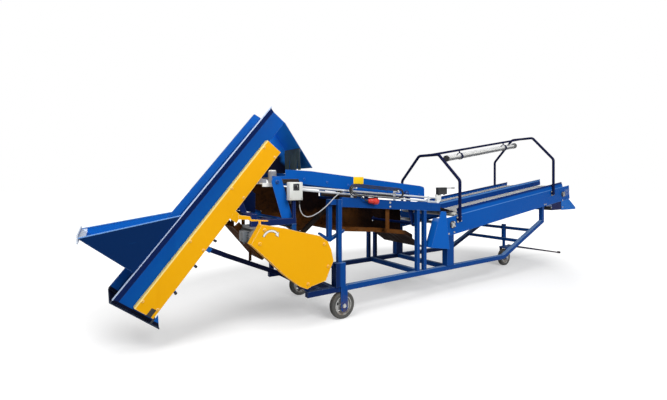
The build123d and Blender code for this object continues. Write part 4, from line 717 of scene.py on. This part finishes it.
# Tyres: rounded shoulders, two grooves in the tread and a bead line on each wall
tyre = {
    "wheels": [("tyre_near", "wheel_near", (-1.5, -0.416, 0.125)), ("tyre_far", "wheel_far", (-1.5, 0.416, 0.125)),
               ("swivel_tyre", "wheel_swivel", (1.775, 0, 0.125))],
    "half": [(0.0080, 0.1249), (0.0090, 0.1218), (0.0120, 0.1218), (0.0130, 0.1245), (0.0190, 0.1238),
             (0.0250, 0.1212), (0.0285, 0.1170), (0.0298, 0.1110), (0.0294, 0.1040), (0.0284, 0.1025),
             (0.0290, 0.1010), (0.0276, 0.0935), (0.0262, 0.0890), (0.0258, 0.0881)],
}
for node, body, centre in tyre["wheels"]:
    rings = [(-across, radius) for across, radius in reversed(tyre["half"])] + tyre["half"]
    turned(centre, (0, 1, 0), rings, 80, hollow=True)
    keep(node.replace("_", "") + "Tread", "tyreRubber", body, [node])
print("tyres turned")

# Lamp: a clear tube with two white tubes over a dark tray, held between end caps
lamp = {
    "low": (0.119, 0, 1.601), "high": (2.282, 0, 1.952),   # the bar that it hangs from
    "startX": 0.441, "endX": 2.064, "drop": 0.082, "radius": 0.0416, "wall": 0.002, "cap": 0.030,
    "tubeY": (-0.0165, 0.0165), "tubeUp": 0.004, "tubeInset": 0.055, "trayInset": 0.028, "socketInset": 0.029,
    "tray": [((-0.0285, -0.0265), (0.0285, -0.0115), 0.004), ((-0.0170, -0.0345), (0.0170, -0.0255), 0.003)],
    "socket": [(0, 0.0136), (0.001, 0.0144), (0.0265, 0.0144), (0.0275, 0.0136)],
}
barWay = (Vector(lamp["high"]) - Vector(lamp["low"])).normalized()
barDown = Vector((barWay.z, 0, -barWay.x))
lampStart = Vector(lamp["low"]) + barDown * lamp["drop"]
lampStart += barWay * ((lamp["startX"] - lampStart.x) / barWay.x)
lampLength = (lamp["endX"] - lamp["startX"]) / barWay.x
lampFrame = Matrix.Translation(lampStart) @ Matrix.Rotation(-asin(barWay.z), 4, "Y")
cap = lamp["cap"]
outer = lamp["radius"]
inner = outer - lamp["wall"]
glassEnd = lampLength - cap
turned(lampStart, barWay, [(cap, outer), (glassEnd, outer), (glassEnd, inner), (cap, inner)], 40, hollow=True)
keep("lampClearTube", "clearTube", hides=["lamp_tube"])
tubeLength = lampLength - 2 * lamp["tubeInset"]
for y in lamp["tubeY"]:
    turned(lampFrame @ Vector((lamp["tubeInset"], y, lamp["tubeUp"])), barWay,
           [(0, 0.0125), (0.0005, 0.0130), (tubeLength - 0.0005, 0.0130), (tubeLength, 0.0125)], 24)
keep("lampWhiteTubes", "whitePaint")
inset = lamp["trayInset"]
for trayLow, trayHigh, bevel in lamp["tray"]:
    slab((inset, *trayLow), (lampLength - inset, *trayHigh), bevel, lampFrame)
for y in lamp["tubeY"]:
    for along in (lamp["socketInset"], lampLength - lamp["socketInset"] - lamp["socket"][-1][0]):
        turned(lampFrame @ Vector((along, y, lamp["tubeUp"])), barWay, lamp["socket"], 20)
keep("lampTray", "darkMetal")
capRings = [(0, 0.030), (0.001, 0.0385), (0.003, 0.0415), (cap - 0.002, outer), (cap, 0.0412)]
turned(lampStart, barWay, capRings, 40)
turned(lampStart + barWay * lampLength, -barWay, capRings, 40)
keep("lampCaps", "blackPlastic")
print("lamp made")


def cornersOf(low, high, inset):  # four corners of a box's front, moved in
    return [(x, z) for x in (low.x + inset, high.x - inset) for z in (low.z + inset, high.z - inset)]


# Control box: shell and lid with a seam, hinge knuckles, corner screws and two cable glands
controlBox = {
    "low": Vector((-2.049, -0.445, 1.104)), "high": Vector((-1.925, -0.385, 1.258)),
    "lid": 0.018, "seam": 0.0015, "rebate": 0.003, "screwInset": 0.012, "hingeZ": (0.030, -0.042),
    "hinge": [(0, 0.0038), (0.0005, 0.0043), (0.0115, 0.0043), (0.012, 0.0038)],
    "screw": [(0, 0.0058), (0.0002, 0.0058), (0.0002, 0.0042), (0.0001, 0.0040)],
    "glandX": (-2.030, -1.945), "glandY": -0.420,
    "glandNut": [(0, 0.0100), (0.0060, 0.0100), (0.0061, 0.0086), (0.0080, 0.0086)],
    "glandNeck": [(0.0078, 0.0082), (0.0135, 0.0080), (0.0140, 0.0066), (0.0290, 0.0056), (0.0300, 0.0050)],
    "plate": ((-2.016, -0.4455, 1.186), (-1.958, -0.4440, 1.244)),
    "mark": ((-1.9882, -0.4692, 1.2160), (-1.9858, -0.4686, 1.2300)),
}
low, high, inset = controlBox["low"], controlBox["high"], controlBox["rebate"]
lidBack = low.y + controlBox["lid"]
slab((low.x, lidBack + controlBox["seam"], low.z), high, 0.004)
slab((low.x + inset, lidBack - 0.001, low.z + inset), (high.x - inset, lidBack + 0.003, high.z - inset), 0.0005)
for z in (low.z + controlBox["hingeZ"][0], high.z + controlBox["hingeZ"][1]):
    turned((low.x + 0.0045, lidBack - 0.002, z), (0, 0, 1), controlBox["hinge"], 16)
keep("controlBoxShell", "greyBox", hides=["control_box"])
slab(low, (high.x, lidBack, high.z), 0.0045)
for x, z in cornersOf(low, high, controlBox["screwInset"]):
    turned((x, low.y + 0.0002, z), (0, -1, 0), controlBox["screw"], 18)
keep("controlBoxLid", "greyBox")
for x in controlBox["glandX"]:
    for rings, sides in (("glandNut", 6), ("glandNeck", 24)):
        turned((x, controlBox["glandY"], low.z), (0, 0, -1), controlBox[rings], sides)
keep("controlBoxGlands", "blackPlastic")
slab(*controlBox["plate"], 0.0006)
keep("switchPlate", "darkMetal")
slab(*controlBox["mark"], 0.0002)
keep("switchMark", "whitePaint", "knob")

# Junction box: black housing with a lid and a lever, on a white trunk that the conduits run into
junction = {
    "trunk": [(-0.205, 1.0252), (-0.175, 1.0230), (-0.135, 1.060), (-0.135, 1.1205), (-0.205, 1.1205)],
    "trunkBack": -0.385, "trunkDepth": 0.030, "cover": ((-0.200, -0.4175, 1.066), (-0.140, -0.4150, 1.114)),
    "low": Vector((-0.205, -0.4320, 1.1205)), "high": Vector((-0.055, -0.396, 1.2000)),
    "lidFront": -0.4360, "lidInset": 0.004, "screwInset": 0.013,
    "nutInset": 0.030, "nutY": -0.414, "nut": [(0, 0.0100), (0.009, 0.0100), (0.010, 0.0085)],
    "screw": [(0, 0.0046), (0.0010, 0.0046), (0.0016, 0.0036), (0.0016, 0.0016), (0.0008, 0.0013)],
    "leverStart": (-0.057, -0.416, 1.191),
    "lever": [(0, 0.0038), (0.100, 0.0038), (0.1003, 0.0060), (0.103, 0.0066), (0.149, 0.0066), (0.1515, 0.0056),
              (0.152, 0.0030)],
    "leverCollar": [(0.0022, 0.0075), (0.006, 0.0075), (0.0065, 0.0065)],
}
low, high, inset, front = junction["low"], junction["high"], junction["lidInset"], junction["lidFront"]
plate([(x, junction["trunkBack"], z) for x, z in junction["trunk"]], (0, -junction["trunkDepth"], 0))
slab(*junction["cover"], 0.001)
keep("junctionTrunk", "whitePaint", hides=["junction_box"])
slab(low, high, 0.005)
slab((low.x + inset, front, low.z + inset), (high.x - inset, low.y + 0.001, high.z - inset), 0.0015)
for x in (low.x + junction["nutInset"], high.x - junction["nutInset"]):
    turned((x, junction["nutY"], low.z + 0.002), (0, 0, -1), junction["nut"], 6)
keep("junctionHousing", "blackPlastic")
for x, z in cornersOf(low, high, junction["screwInset"]):
    turned((x, front + 0.0006, z), (0, -1, 0), junction["screw"], 16)
for rings in ("lever", "leverCollar"):
    turned(junction["leverStart"], (1, 0, 0), junction[rings], 20)
keep("junctionLever", "darkMetal")

# Curtain: rubber strips that hang side by side from the hood's cover, each with its own slight curl
curtain = {
    "strips": 6, "gap": 0.0022, "thick": 0.0026, "rows": 12, "curl": (0.010, -0.006, 0.004, 0.012, -0.003, 0.007),
    "clampInset": 0.004, "clampDrop": (-0.034, -0.006), "nutDrop": 0.020,
    "nut": [(0, 0.0065), (0.0035, 0.0065), (0.0045, 0.0055)],
}
low, high = (Vector(corner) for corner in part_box("hood_curtain"))
stripWide = (high.y - low.y + curtain["gap"]) / curtain["strips"] - curtain["gap"]
stripLong = high.z - low.z
stripLefts = [low.y + strip * (stripWide + curtain["gap"]) for strip in range(curtain["strips"])]
for left, curl in zip(stripLefts, curtain["curl"]):
    loops = []
    for row in range(curtain["rows"] + 1):
        fall = row / curtain["rows"]
        back = (low.x + high.x) / 2 + curl * fall * fall - curtain["thick"] / 2
        front, right, z = back + curtain["thick"], left + stripWide, high.z - stripLong * fall
        loops.append([(back, left, z), (front, left, z), (front, right, z), (back, right, z)])
    lofted(loops[::-1])
bmesh.ops.recalc_face_normals(shape, faces=shape.faces)
curtainStrips = keep("curtainStrips", "curtainRubber", hides=["hood_curtain"])
inset = curtain["clampInset"]
clampLow, clampHigh = (high.z + drop for drop in curtain["clampDrop"])
slab((high.x - 0.0005, low.y + inset, clampLow), (high.x + 0.0035, high.y - inset, clampHigh), 0.001)
for left in stripLefts:
    place = (high.x + 0.003, left + stripWide / 2, high.z - curtain["nutDrop"])
    turned(place, (1, 0, 0), curtain["nut"], 6)
keep("curtainClamp", "zincSteel")
print("junction box and curtain made")

# Rolled rims along the top of the hopper's sides, pale as a painted highlight
hopper = {"lip": (-3.4945, 0.300, 0.8905), "rim": (-2.8545, 0.2065, 0.9985), "bead": 0.0045}
bead = hopper["bead"]
for hand in (-1, 1):
    start, end = (Vector(hopper[key]) * Vector((1, hand, 1)) for key in ("lip", "rim"))
    long = (end - start).length
    turned(start, end - start, [(0, bead * 0.6), (0.002, bead), (long - 0.002, bead), (long, bead * 0.6)], 14)
keep("hopperRims", "rimHighlightSheet")

# Rubber seals between the tray and the table's sides, and a flap across the tray's mouth
traySeal = {"start": 2.277, "end": 2.560, "inside": 0.4505, "thick": 0.003, "low": 0.8465, "high": 0.043, "over": 0.012,
            "flap": ((2.2700, -0.446, 0.8470), (2.2748, 0.446, 0.9000))}
start, end, base = traySeal["start"], traySeal["end"], traySeal["low"]
top = base + traySeal["high"] + traySeal["over"]
outline = [(start, base), (end, base), (end, top + (end - start) * tan(radians(table["angle"]))), (start, top)]
for hand in (-1, 1):
    plate([(x, hand * traySeal["inside"], z) for x, z in outline], (0, -hand * traySeal["thick"], 0))
slab(*traySeal["flap"], 0.001)
keep("traySeals", "beltRubber")

# Plates left blank, and the arrow on the belt guard that shows which way it turns
signs = {
    "sieve": ((-1.320, -0.3510, 1.240), (-1.198, -0.3495, 1.309)),
    "guard": ((0.031, -0.2262, -0.294), (0.091, -0.2246, -0.256)),   # in the elevator's frame
    "arrowCentre": (-2.236, 0.803), "arrowFace": -0.492, "arrowRadius": 0.066, "arrowSteps": 16,
    "arrowFrom": 158, "arrowTo": 38, "arrowTip": 12,
    "arrows": [("turnArrowEdge", 0.0105, 0.0230, 2.5, 0.0004, "darkMetal"),
               ("turnArrow", 0.0075, 0.0175, 0.0, 0.0008, "whitePaint")],
}
slab(*signs["sieve"], 0.0005)
keep("sieveBlankPlate", "plateYellow", "sieve")
slab(*signs["guard"], 0.0004, elevatorFrame)
keep("guardBlankPlate", "blackPlastic")


def arrowSpot(reach, angle):
    x, z = signs["arrowCentre"]
    radius = signs["arrowRadius"] + reach
    return (x + radius * cos(radians(angle)), signs["arrowFace"], z + radius * sin(radians(angle)))


for name, half, wing, grow, depth, finish in signs["arrows"]:   # a bent band with a pointed end
    start, end, steps = signs["arrowFrom"] + grow, signs["arrowTo"], signs["arrowSteps"]
    angles = [start + (end - start) * step / steps for step in range(steps + 1)]
    barb = [arrowSpot(wing, end), arrowSpot(0, signs["arrowTip"] - grow), arrowSpot(-wing, end)]
    outer, inner = ([arrowSpot(reach, angle) for angle in angles] for reach in (half, -half))
    plate(outer + barb + inner[::-1], (0, -depth, 0))
    keep(name, finish)
print("plates and arrow made")


# Cords: each is one smooth spline through the route's control points
def cordPiece(name, points, diameter, finish, hides):
    curve = bpy.data.curves.new(name, "CURVE")
    curve.dimensions = "3D"
    curve.bevel_depth = diameter / 2
    curve.bevel_resolution = 5
    curve.use_fill_caps = True
    curve.resolution_u = 10
    spline = curve.splines.new("NURBS")
    spline.points.add(len(points) - 1)
    for point, place in zip(spline.points, points):
        point.co = (*place, 1)
    spline.order_u = 3
    spline.use_endpoint_u = True
    curve.materials.append(finishes[finish])
    return ride(placed(name, curve), "frame", hides)


sagRoute = {
    "diameter": 0.009,
    "length": 0.605,
    "points": [
        (-1.945, -0.420, 1.090), (-1.945, -0.420, 1.040), (-1.925, -0.424, 0.985), (-1.885, -0.427, 0.955),
        (-1.820, -0.430, 0.960), (-1.740, -0.430, 1.000), (-1.660, -0.428, 1.055), (-1.590, -0.424, 1.118),
        (-1.540, -0.421, 1.150), (-1.500, -0.418, 1.172),
    ],
}
sagCord = cordPiece("greySagCable", sagRoute["points"], sagRoute["diameter"], "greySheath", ["sag_cable"])

hank = {
    "centre": (-1.110, -0.468, 1.162), "tilt": -4.9,
    "half": 0.285,      # half of a straight run
    "first": 0.032,     # the innermost run above the middle
    "bow": 0.140,       # where a run starts to sag
    "weave": 0.0012,
    "pitch": 0.012, "turns": 3, "diameter": 0.010, "length": 3.677,
    "sag": 0.0035, "sagShare": 0.6, "upperSag": -0.12, "lowerSag": 0.35, "bend": (0.577, 1.155),
    "start": 0.245, "end": [(-0.250, -0.056), (-0.190, -0.056), (-0.1545, -0.092), (-0.1193, -0.092)],
}
hankWay = Vector((cos(radians(hank["tilt"])), 0, sin(radians(hank["tilt"]))))
hankUp = Vector((-hankWay.z, 0, hankWay.x))


def onHank(along, up, out=0.0):
    return Vector(hank["centre"]) + hankWay * along + hankUp * up - Vector((0, out, 0))


def hankRun(hand, up, sag, out):  # a straight run that sags a little, from side hand to the other
    bow, edge = hank["bow"] * hand, up - sag * hank["sagShare"]
    return [onHank(bow, edge), onHank(0.0, up - sag, out), onHank(-bow, edge)]


def hankBend(hand, wide, first, middle, last, out):
    near, far = (hand * (hank["half"] + share * wide) for share in hank["bend"])
    return [onHank(near, first), onHank(far, middle, out), onHank(near, last)]


hankPoints = [onHank(hank["start"], hank["first"])]
for turn in range(hank["turns"]):
    up = hank["first"] + turn * hank["pitch"]
    following = up + hank["pitch"]
    out = hank["weave"] if turn % 2 else -hank["weave"]
    hankPoints += hankRun(1, up, hank["sag"] * (1.0 + hank["upperSag"] * turn), out)
    hankPoints += hankBend(-1, up, up, 0.0, -up, -out)
    if turn < hank["turns"] - 1:
        hankPoints += hankRun(-1, -up, hank["sag"] * (1.0 + hank["lowerSag"] * turn), -out)
        hankPoints += hankBend(1, (up + following) / 2, -up, hank["pitch"] / 2, following, out)
hankPoints += [onHank(along, up) for along, up in hank["end"]]
hankCord = cordPiece("blackCableHank", hankPoints, hank["diameter"], "blackSheath", ["cable_hank"])

# Plug: ribbed red body with a skirt, four steel pins, and the sleeve that guards the cable at its neck
plug = {
    "body": [
        (0.0, 0.0090), (0.001, 0.0125), (0.013, 0.0138), (0.016, 0.0150), (0.0175, 0.0215), (0.020, 0.0232),
        (0.067, 0.0236), (0.0695, 0.0240), (0.070, 0.0276), (0.073, 0.0290), (0.079, 0.0290), (0.0792, 0.0280),
        (0.0832, 0.0280), (0.0834, 0.0290), (0.1168, 0.0290), (0.118, 0.0282), (0.118, 0.0258), (0.117, 0.0250),
        (0.082, 0.0250), (0.0815, 0.0020)],
    "ribs": 16, "rib": ((0.022, -0.0016, 0.0224), (0.064, 0.0016, 0.0243)),
    "key": ((0.084, -0.0050, 0.0280), (0.116, 0.0050, 0.0302)),
    "pinCircle": 0.014, "pinRoot": 0.0805, "pin": [(0, 0.0035), (0.029, 0.0035), (0.0315, 0.0016)],
}
plugEnd = hankPoints[-1]
plugFrame = Matrix.Translation(plugEnd) @ Matrix.Rotation(radians(-hank["tilt"]), 4, "Y")
turned(plugEnd, hankWay, plug["body"])
for rib in range(plug["ribs"]):
    slab(*plug["rib"], 0.0006, plugFrame @ Matrix.Rotation(2 * pi * rib / plug["ribs"], 4, "X"))
slab(*plug["key"], 0.0012, plugFrame)
plugBody = keep("plugBody", "redPlug", hides=["plug"])
for angle in (45, 135, 225, 315):
    root = Vector((plug["pinRoot"], plug["pinCircle"] * cos(radians(angle)), plug["pinCircle"] * sin(radians(angle))))
    turned(plugFrame @ root, hankWay, plug["pin"], 16)
plugPins = keep("plugPins", "brightSteel")


def sleeve(name, start, way, bore, wide, length):  # a tapered rubber sleeve with rings round it
    rings = [(0.0, wide * 0.94), (0.001, wide), (length * 0.18, wide)]
    for step in range(5):
        along = length * (0.24 + 0.14 * step)
        radius = wide - (wide - bore) * (0.20 + 0.13 * step)
        rings += [(along, radius - 0.0005), (along + length * 0.05, radius - 0.0005),
                  (along + length * 0.06, radius), (along + length * 0.125, radius)]
    rings += [(length * 0.96, bore + 0.0009), (length, bore + 0.0004), (length, bore), (0.0, bore)]
    turned(start, way, rings, 28, hollow=True)
    return keep(name, "blackPlastic")


plugSleeve = sleeve("plugSleeve", plugEnd + hankWay * 0.001, -hankWay, 0.0050, 0.0098, 0.030)
hankSleeve = sleeve("hankSleeve", hankPoints[0] + hankWay * 0.004, -hankWay, 0.0050, 0.0085, 0.032)
sagPoints = [Vector(point) for point in sagRoute["points"]]
sagLast = (sagPoints[-2] - sagPoints[-1]).normalized()
sagSleeve = sleeve("sagSleeve", sagPoints[-1] - sagLast * 0.004, sagLast, 0.0045, 0.0075, 0.030)
sagFirst = sleeve("sagBoxSleeve", sagPoints[0] + Vector((0, 0, 0.003)), (0, 0, -1), 0.0045, 0.0072, 0.026)
print("plug and sleeves made")
print("cords laid")

# Chains that carry the roller ends, grown link by link along both sides of the table
chains = {
    "start": -0.108, "pitch": 0.033, "links": 76, "up": 0.006, "y": 0.4425, "plateShare": 0.7,
    "sizes": {"Link Length": 0.030, "Link Height": 0.014, "Plate Thickness": 0.0016, "Pin Radius": 0.0052,
              "Pin Length": 0.0060},
}
tableLean = (0, radians(-table["angle"]), 0)
chainTree = Growth("rollerChains", *chains["sizes"])
linkPlate = chainTree.block("Link Length", "Plate Thickness", "Link Height")
pinTurned = chainTree.wire("GeometryNodeTransform", {
    "Geometry": chainTree.drum(12, "Pin Radius", "Pin Length"), "Rotation": (radians(90), 0, 0)})
platePair = [chainTree.moved(linkPlate, "Y", chainTree.given("Pin Length") * (side * chains["plateShare"]))
             for side in (-0.5, 0.5)]
chainTree.repeated(chainTree.given("Geometry"), chainTree.joined(pinTurned, *platePair), Rotation=tableLean)
chainSpots = [onTable(chains["start"] + step * chains["pitch"], chains["up"], hand * chains["y"])
              for hand in (-1, 1) for step in range(chains["links"])]
chainTree.grow("rollerChains", chainSpots, chains["sizes"], "castIron")

# Drive motor: terminal lid with screws, a gland under it and a slotted fan cowl at its far end
motor = {
    "centre": (-2.300, 0.815), "lidFace": -2.405, "lidY": (-0.330, -0.240), "lidZ": 0.040, "lidOver": 0.003,
    "screwInset": 0.006, "screw": [(0, 0.0044), (0.0022, 0.0044), (0.0030, 0.0034)],
    "glandX": 0.022, "glandY": -0.285,
    "gland": [(0, 0.0125), (0.010, 0.0125), (0.0101, 0.0105), (0.020, 0.0098), (0.026, 0.0070)],
    "cowlY": -0.176,
    "cowl": [
        (0, 0.0775), (0.0, 0.0790), (0.034, 0.0790), (0.042, 0.0750), (0.045, 0.0680), (0.045, 0.0560),
        (0.0425, 0.0555), (0.0425, 0.0480), (0.045, 0.0475), (0.045, 0.0370), (0.0425, 0.0365), (0.0425, 0.0290),
        (0.045, 0.0285), (0.045, 0.0180), (0.0425, 0.0175), (0.0425, 0.0030)],
}
x, z = motor["centre"]
face, over, inset = motor["lidFace"], motor["lidOver"], motor["screwInset"]
low = Vector((face - 0.006, motor["lidY"][0], z - motor["lidZ"]))
high = Vector((face + 0.001, motor["lidY"][1], z + motor["lidZ"]))
slab(low - Vector((0, over, over)), high + Vector((0, over, over)), 0.0025)
for y in (low.y + inset, high.y - inset):
    for screwZ in (low.z + inset, high.z - inset):
        turned((face - 0.0055, y, screwZ), (-1, 0, 0), motor["screw"], 14)
turned((face + motor["glandX"], motor["glandY"], low.z + 0.002), (0, 0, -1), motor["gland"], 20)
keep("motorLid", "greyMotor")
turned((x, motor["cowlY"], z), (0, 1, 0), motor["cowl"])
keep("motorCowl", "greyMotor")

# Small motor under the elevator: ribbed body cover and a white cap
smallMotor = {
    "place": Vector((-2.126, -0.262, 1.2505)), "radius": 0.034, "top": 0.1010,
    "ribs": 11, "ribStart": 0.013, "ribPitch": 0.0075,
    "rib": [(0, 0.0002), (0.0030, 0.0002), (0.0031, 0.0020), (0.0070, 0.0020)],
    "cap": [(0, 0.0300), (0.0015, 0.0312), (0.0085, 0.0300), (0.0108, 0.0262), (0.0112, 0.0040)],
}
radius, top = smallMotor["radius"], smallMotor["top"]
rings = [(0.0, radius * 0.9), (0.001, radius + 0.0015), (0.010, radius + 0.0015)]
for rib in range(smallMotor["ribs"]):
    along = smallMotor["ribStart"] + smallMotor["ribPitch"] * rib
    rings += [(along + step, radius + proud) for step, proud in smallMotor["rib"]]
rings += [(0.0985, radius + 0.0008), (top, radius * 0.9)]
turned(smallMotor["place"], (0, 0, 1), rings, 40)
keep("smallMotorRibs", "motorAndBracket")
turned(smallMotor["place"] + Vector((0, 0, top - 0.001)), (0, 0, 1), smallMotor["cap"], 40)
keep("smallMotorCap", "whitePaint")

# Carrier bars between the rollers, dark as painted shade in the shaded copy of the frame blue
carriers = {
    "start": -0.075, "pitch": 0.066, "count": 37, "up": 0.019,
    "sizes": {"Bar Width": 0.012, "Bar Length": 0.862, "Bar Height": 0.018},
}
barTree = Growth("carrierBars", *carriers["sizes"])
barTree.repeated(barTree.given("Geometry"), barTree.block(*carriers["sizes"]), Rotation=tableLean)
barSpots = [onTable(carriers["start"] + step * carriers["pitch"], carriers["up"], 0)
            for step in range(carriers["count"])]
barTree.grow("carrierBars", barSpots, carriers["sizes"], "shadedFrame")
print("chains and motors dressed")

# Finishes on the solids whose shape stays
wear = {   # finish and solids
    "blueFrame": "base_frame tail_struts front_legs rear_legs sieve_beams steering_head steering_fork",
    "shadedFrame": "front_frame rocker_rear",
    "navyTube": "arches elevator_brace drawbar",
    "hopperSheet": "hopper_sides",
    "blueSheet": "sieve_sides",
    "hoodSheet": "hood",
    # painted light: the lighter sheet blue on these parts
    "litSheet": "outlet_chute rocker_front",
    "footSheet": "elevator_cross_plates",
    "lipSheet": "hopper_floor",
    "elevatorSheet": "elevator_sides",
    "tableSheet": "table_sides",
    "dividerSheet": "table_divider",
    "chuteSheet": "end_chute",
    "yellowGuard": "elevator_guards belt_guard",
    "soiledSlide": "slides",
    "soiledPan": "collecting_pan",
    "soiledWall": "pan_wall",
    "brightSteel": "eccentric_shaft head_drum tail_drum table_head_shaft table_tail_shaft motor_pulley",
    "dullSteel": "sieve_screen sieve_crossbars",
    "darkRod": "con_rod",
    "castIron": "bearing_units drive_pulley",
    "greyMotor": "drive_motor",
    "motorAndBracket": "gear_motors",
    "paleRoller": "table_rollers",
    "wheelCentre": "wheel_hub_near wheel_hub_far swivel_hub",
    "beltRubber": "elevator_belt v_belt",
    "conduitPlastic": "conduits",
    "blackPlastic": "control_knob",
}
for finish, nodes in wear.items():
    for node in nodes.split():
        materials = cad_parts[node].data.materials
        materials.clear()
        materials.append(finishes[finish])
print("solids finished")

# Floor, light and white surround
studio = {
    "floorSize": 60.0, "middle": (-0.4, 0.3, 0), "squeeze": (1, 1.6, 1), "fadeFrom": 2.0, "fadeTo": 4.6,
    "floorTone": (0.98, 0.98, 0.98, 1), "bounceTone": (0.35, 0.35, 0.36, 1),   # less light is thrown back up
    "floorGlow": 1.25, "floorShadow": 0.74, "white": (1, 1, 1, 1), "worldLight": 0.26,
    "lamps": [
        ("keyLamp", (-0.8, -7.0, 5.0), 4.5, 480),
        ("sideLamp", (-8.0, -2.0, 5.5), 4.0, 60),
        ("topLamp", (-5.0, -1.4, 7.0), 4.5, 340),
    ],
    "aim": Vector((-0.4, 0, 0.7)),
}


def seenBy(made, *rays):  # 1 for a ray of one of these kinds
    seen = 0.0
    for ray in rays:
        seen = made.maths("MAXIMUM", made.wire("ShaderNodeLightPath", output=f"Is {ray} Ray"), seen)
    return seen


made = newFinish("paleFloor")
shifted = made.vectors("SUBTRACT", made.place(), studio["middle"])
spot = made.vectors("LENGTH", made.vectors("MULTIPLY", shifted, studio["squeeze"]), output="Value")
far = made.between(spot, studio["fadeFrom"], studio["fadeTo"])
seen = seenBy(made, "Camera", "Glossy", "Transmission")
tones = {0: seen, 6: studio["bounceTone"], 7: studio["floorTone"]}
tone = made.wire("ShaderNodeMix", tones, 2, data_type="RGBA")
matt = made.wire("ShaderNodeBsdfDiffuse", {"Color": tone})
white = made.wire("ShaderNodeEmission", {"Color": studio["white"], "Strength": studio["floorGlow"]})
lit = made.maths("MAXIMUM", far, 1 - studio["floorShadow"])
mixed = made.wire("ShaderNodeMixShader", {0: lit * seen, 1: matt, 2: white})
made.add("ShaderNodeOutputMaterial", {0: mixed})
side = studio["floorSize"]
floorMesh = bpy.data.meshes.new("floor")
floorMesh.from_pydata([(-side, -side, 0), (side, -side, 0), (side, side, 0), (-side, side, 0)], [], [(0, 1, 2, 3)])
floorMesh.materials.append(made.owner)
placed("floor", floorMesh)

sky = Finish(bpy.data.worlds.new("surround"))
plain = sky.wire("ShaderNodeBackground", {"Color": studio["white"], "Strength": studio["worldLight"]})
bright = sky.wire("ShaderNodeBackground", {"Color": studio["white"]})
swap = sky.wire("ShaderNodeMixShader", {0: seenBy(sky, "Camera", "Transmission"), 1: plain, 2: bright})
sky.add("ShaderNodeOutputWorld", {0: swap})
scene.world = sky.owner

for name, place, size, power in studio["lamps"]:
    lightData = bpy.data.lights.new(name, "AREA")
    lightData.energy = power
    lightData.size = size
    light = placed(name, lightData)
    light.location = place
    light.rotation_euler = (studio["aim"] - Vector(place)).to_track_quat("-Z", "Y").to_euler()
print("studio lit")
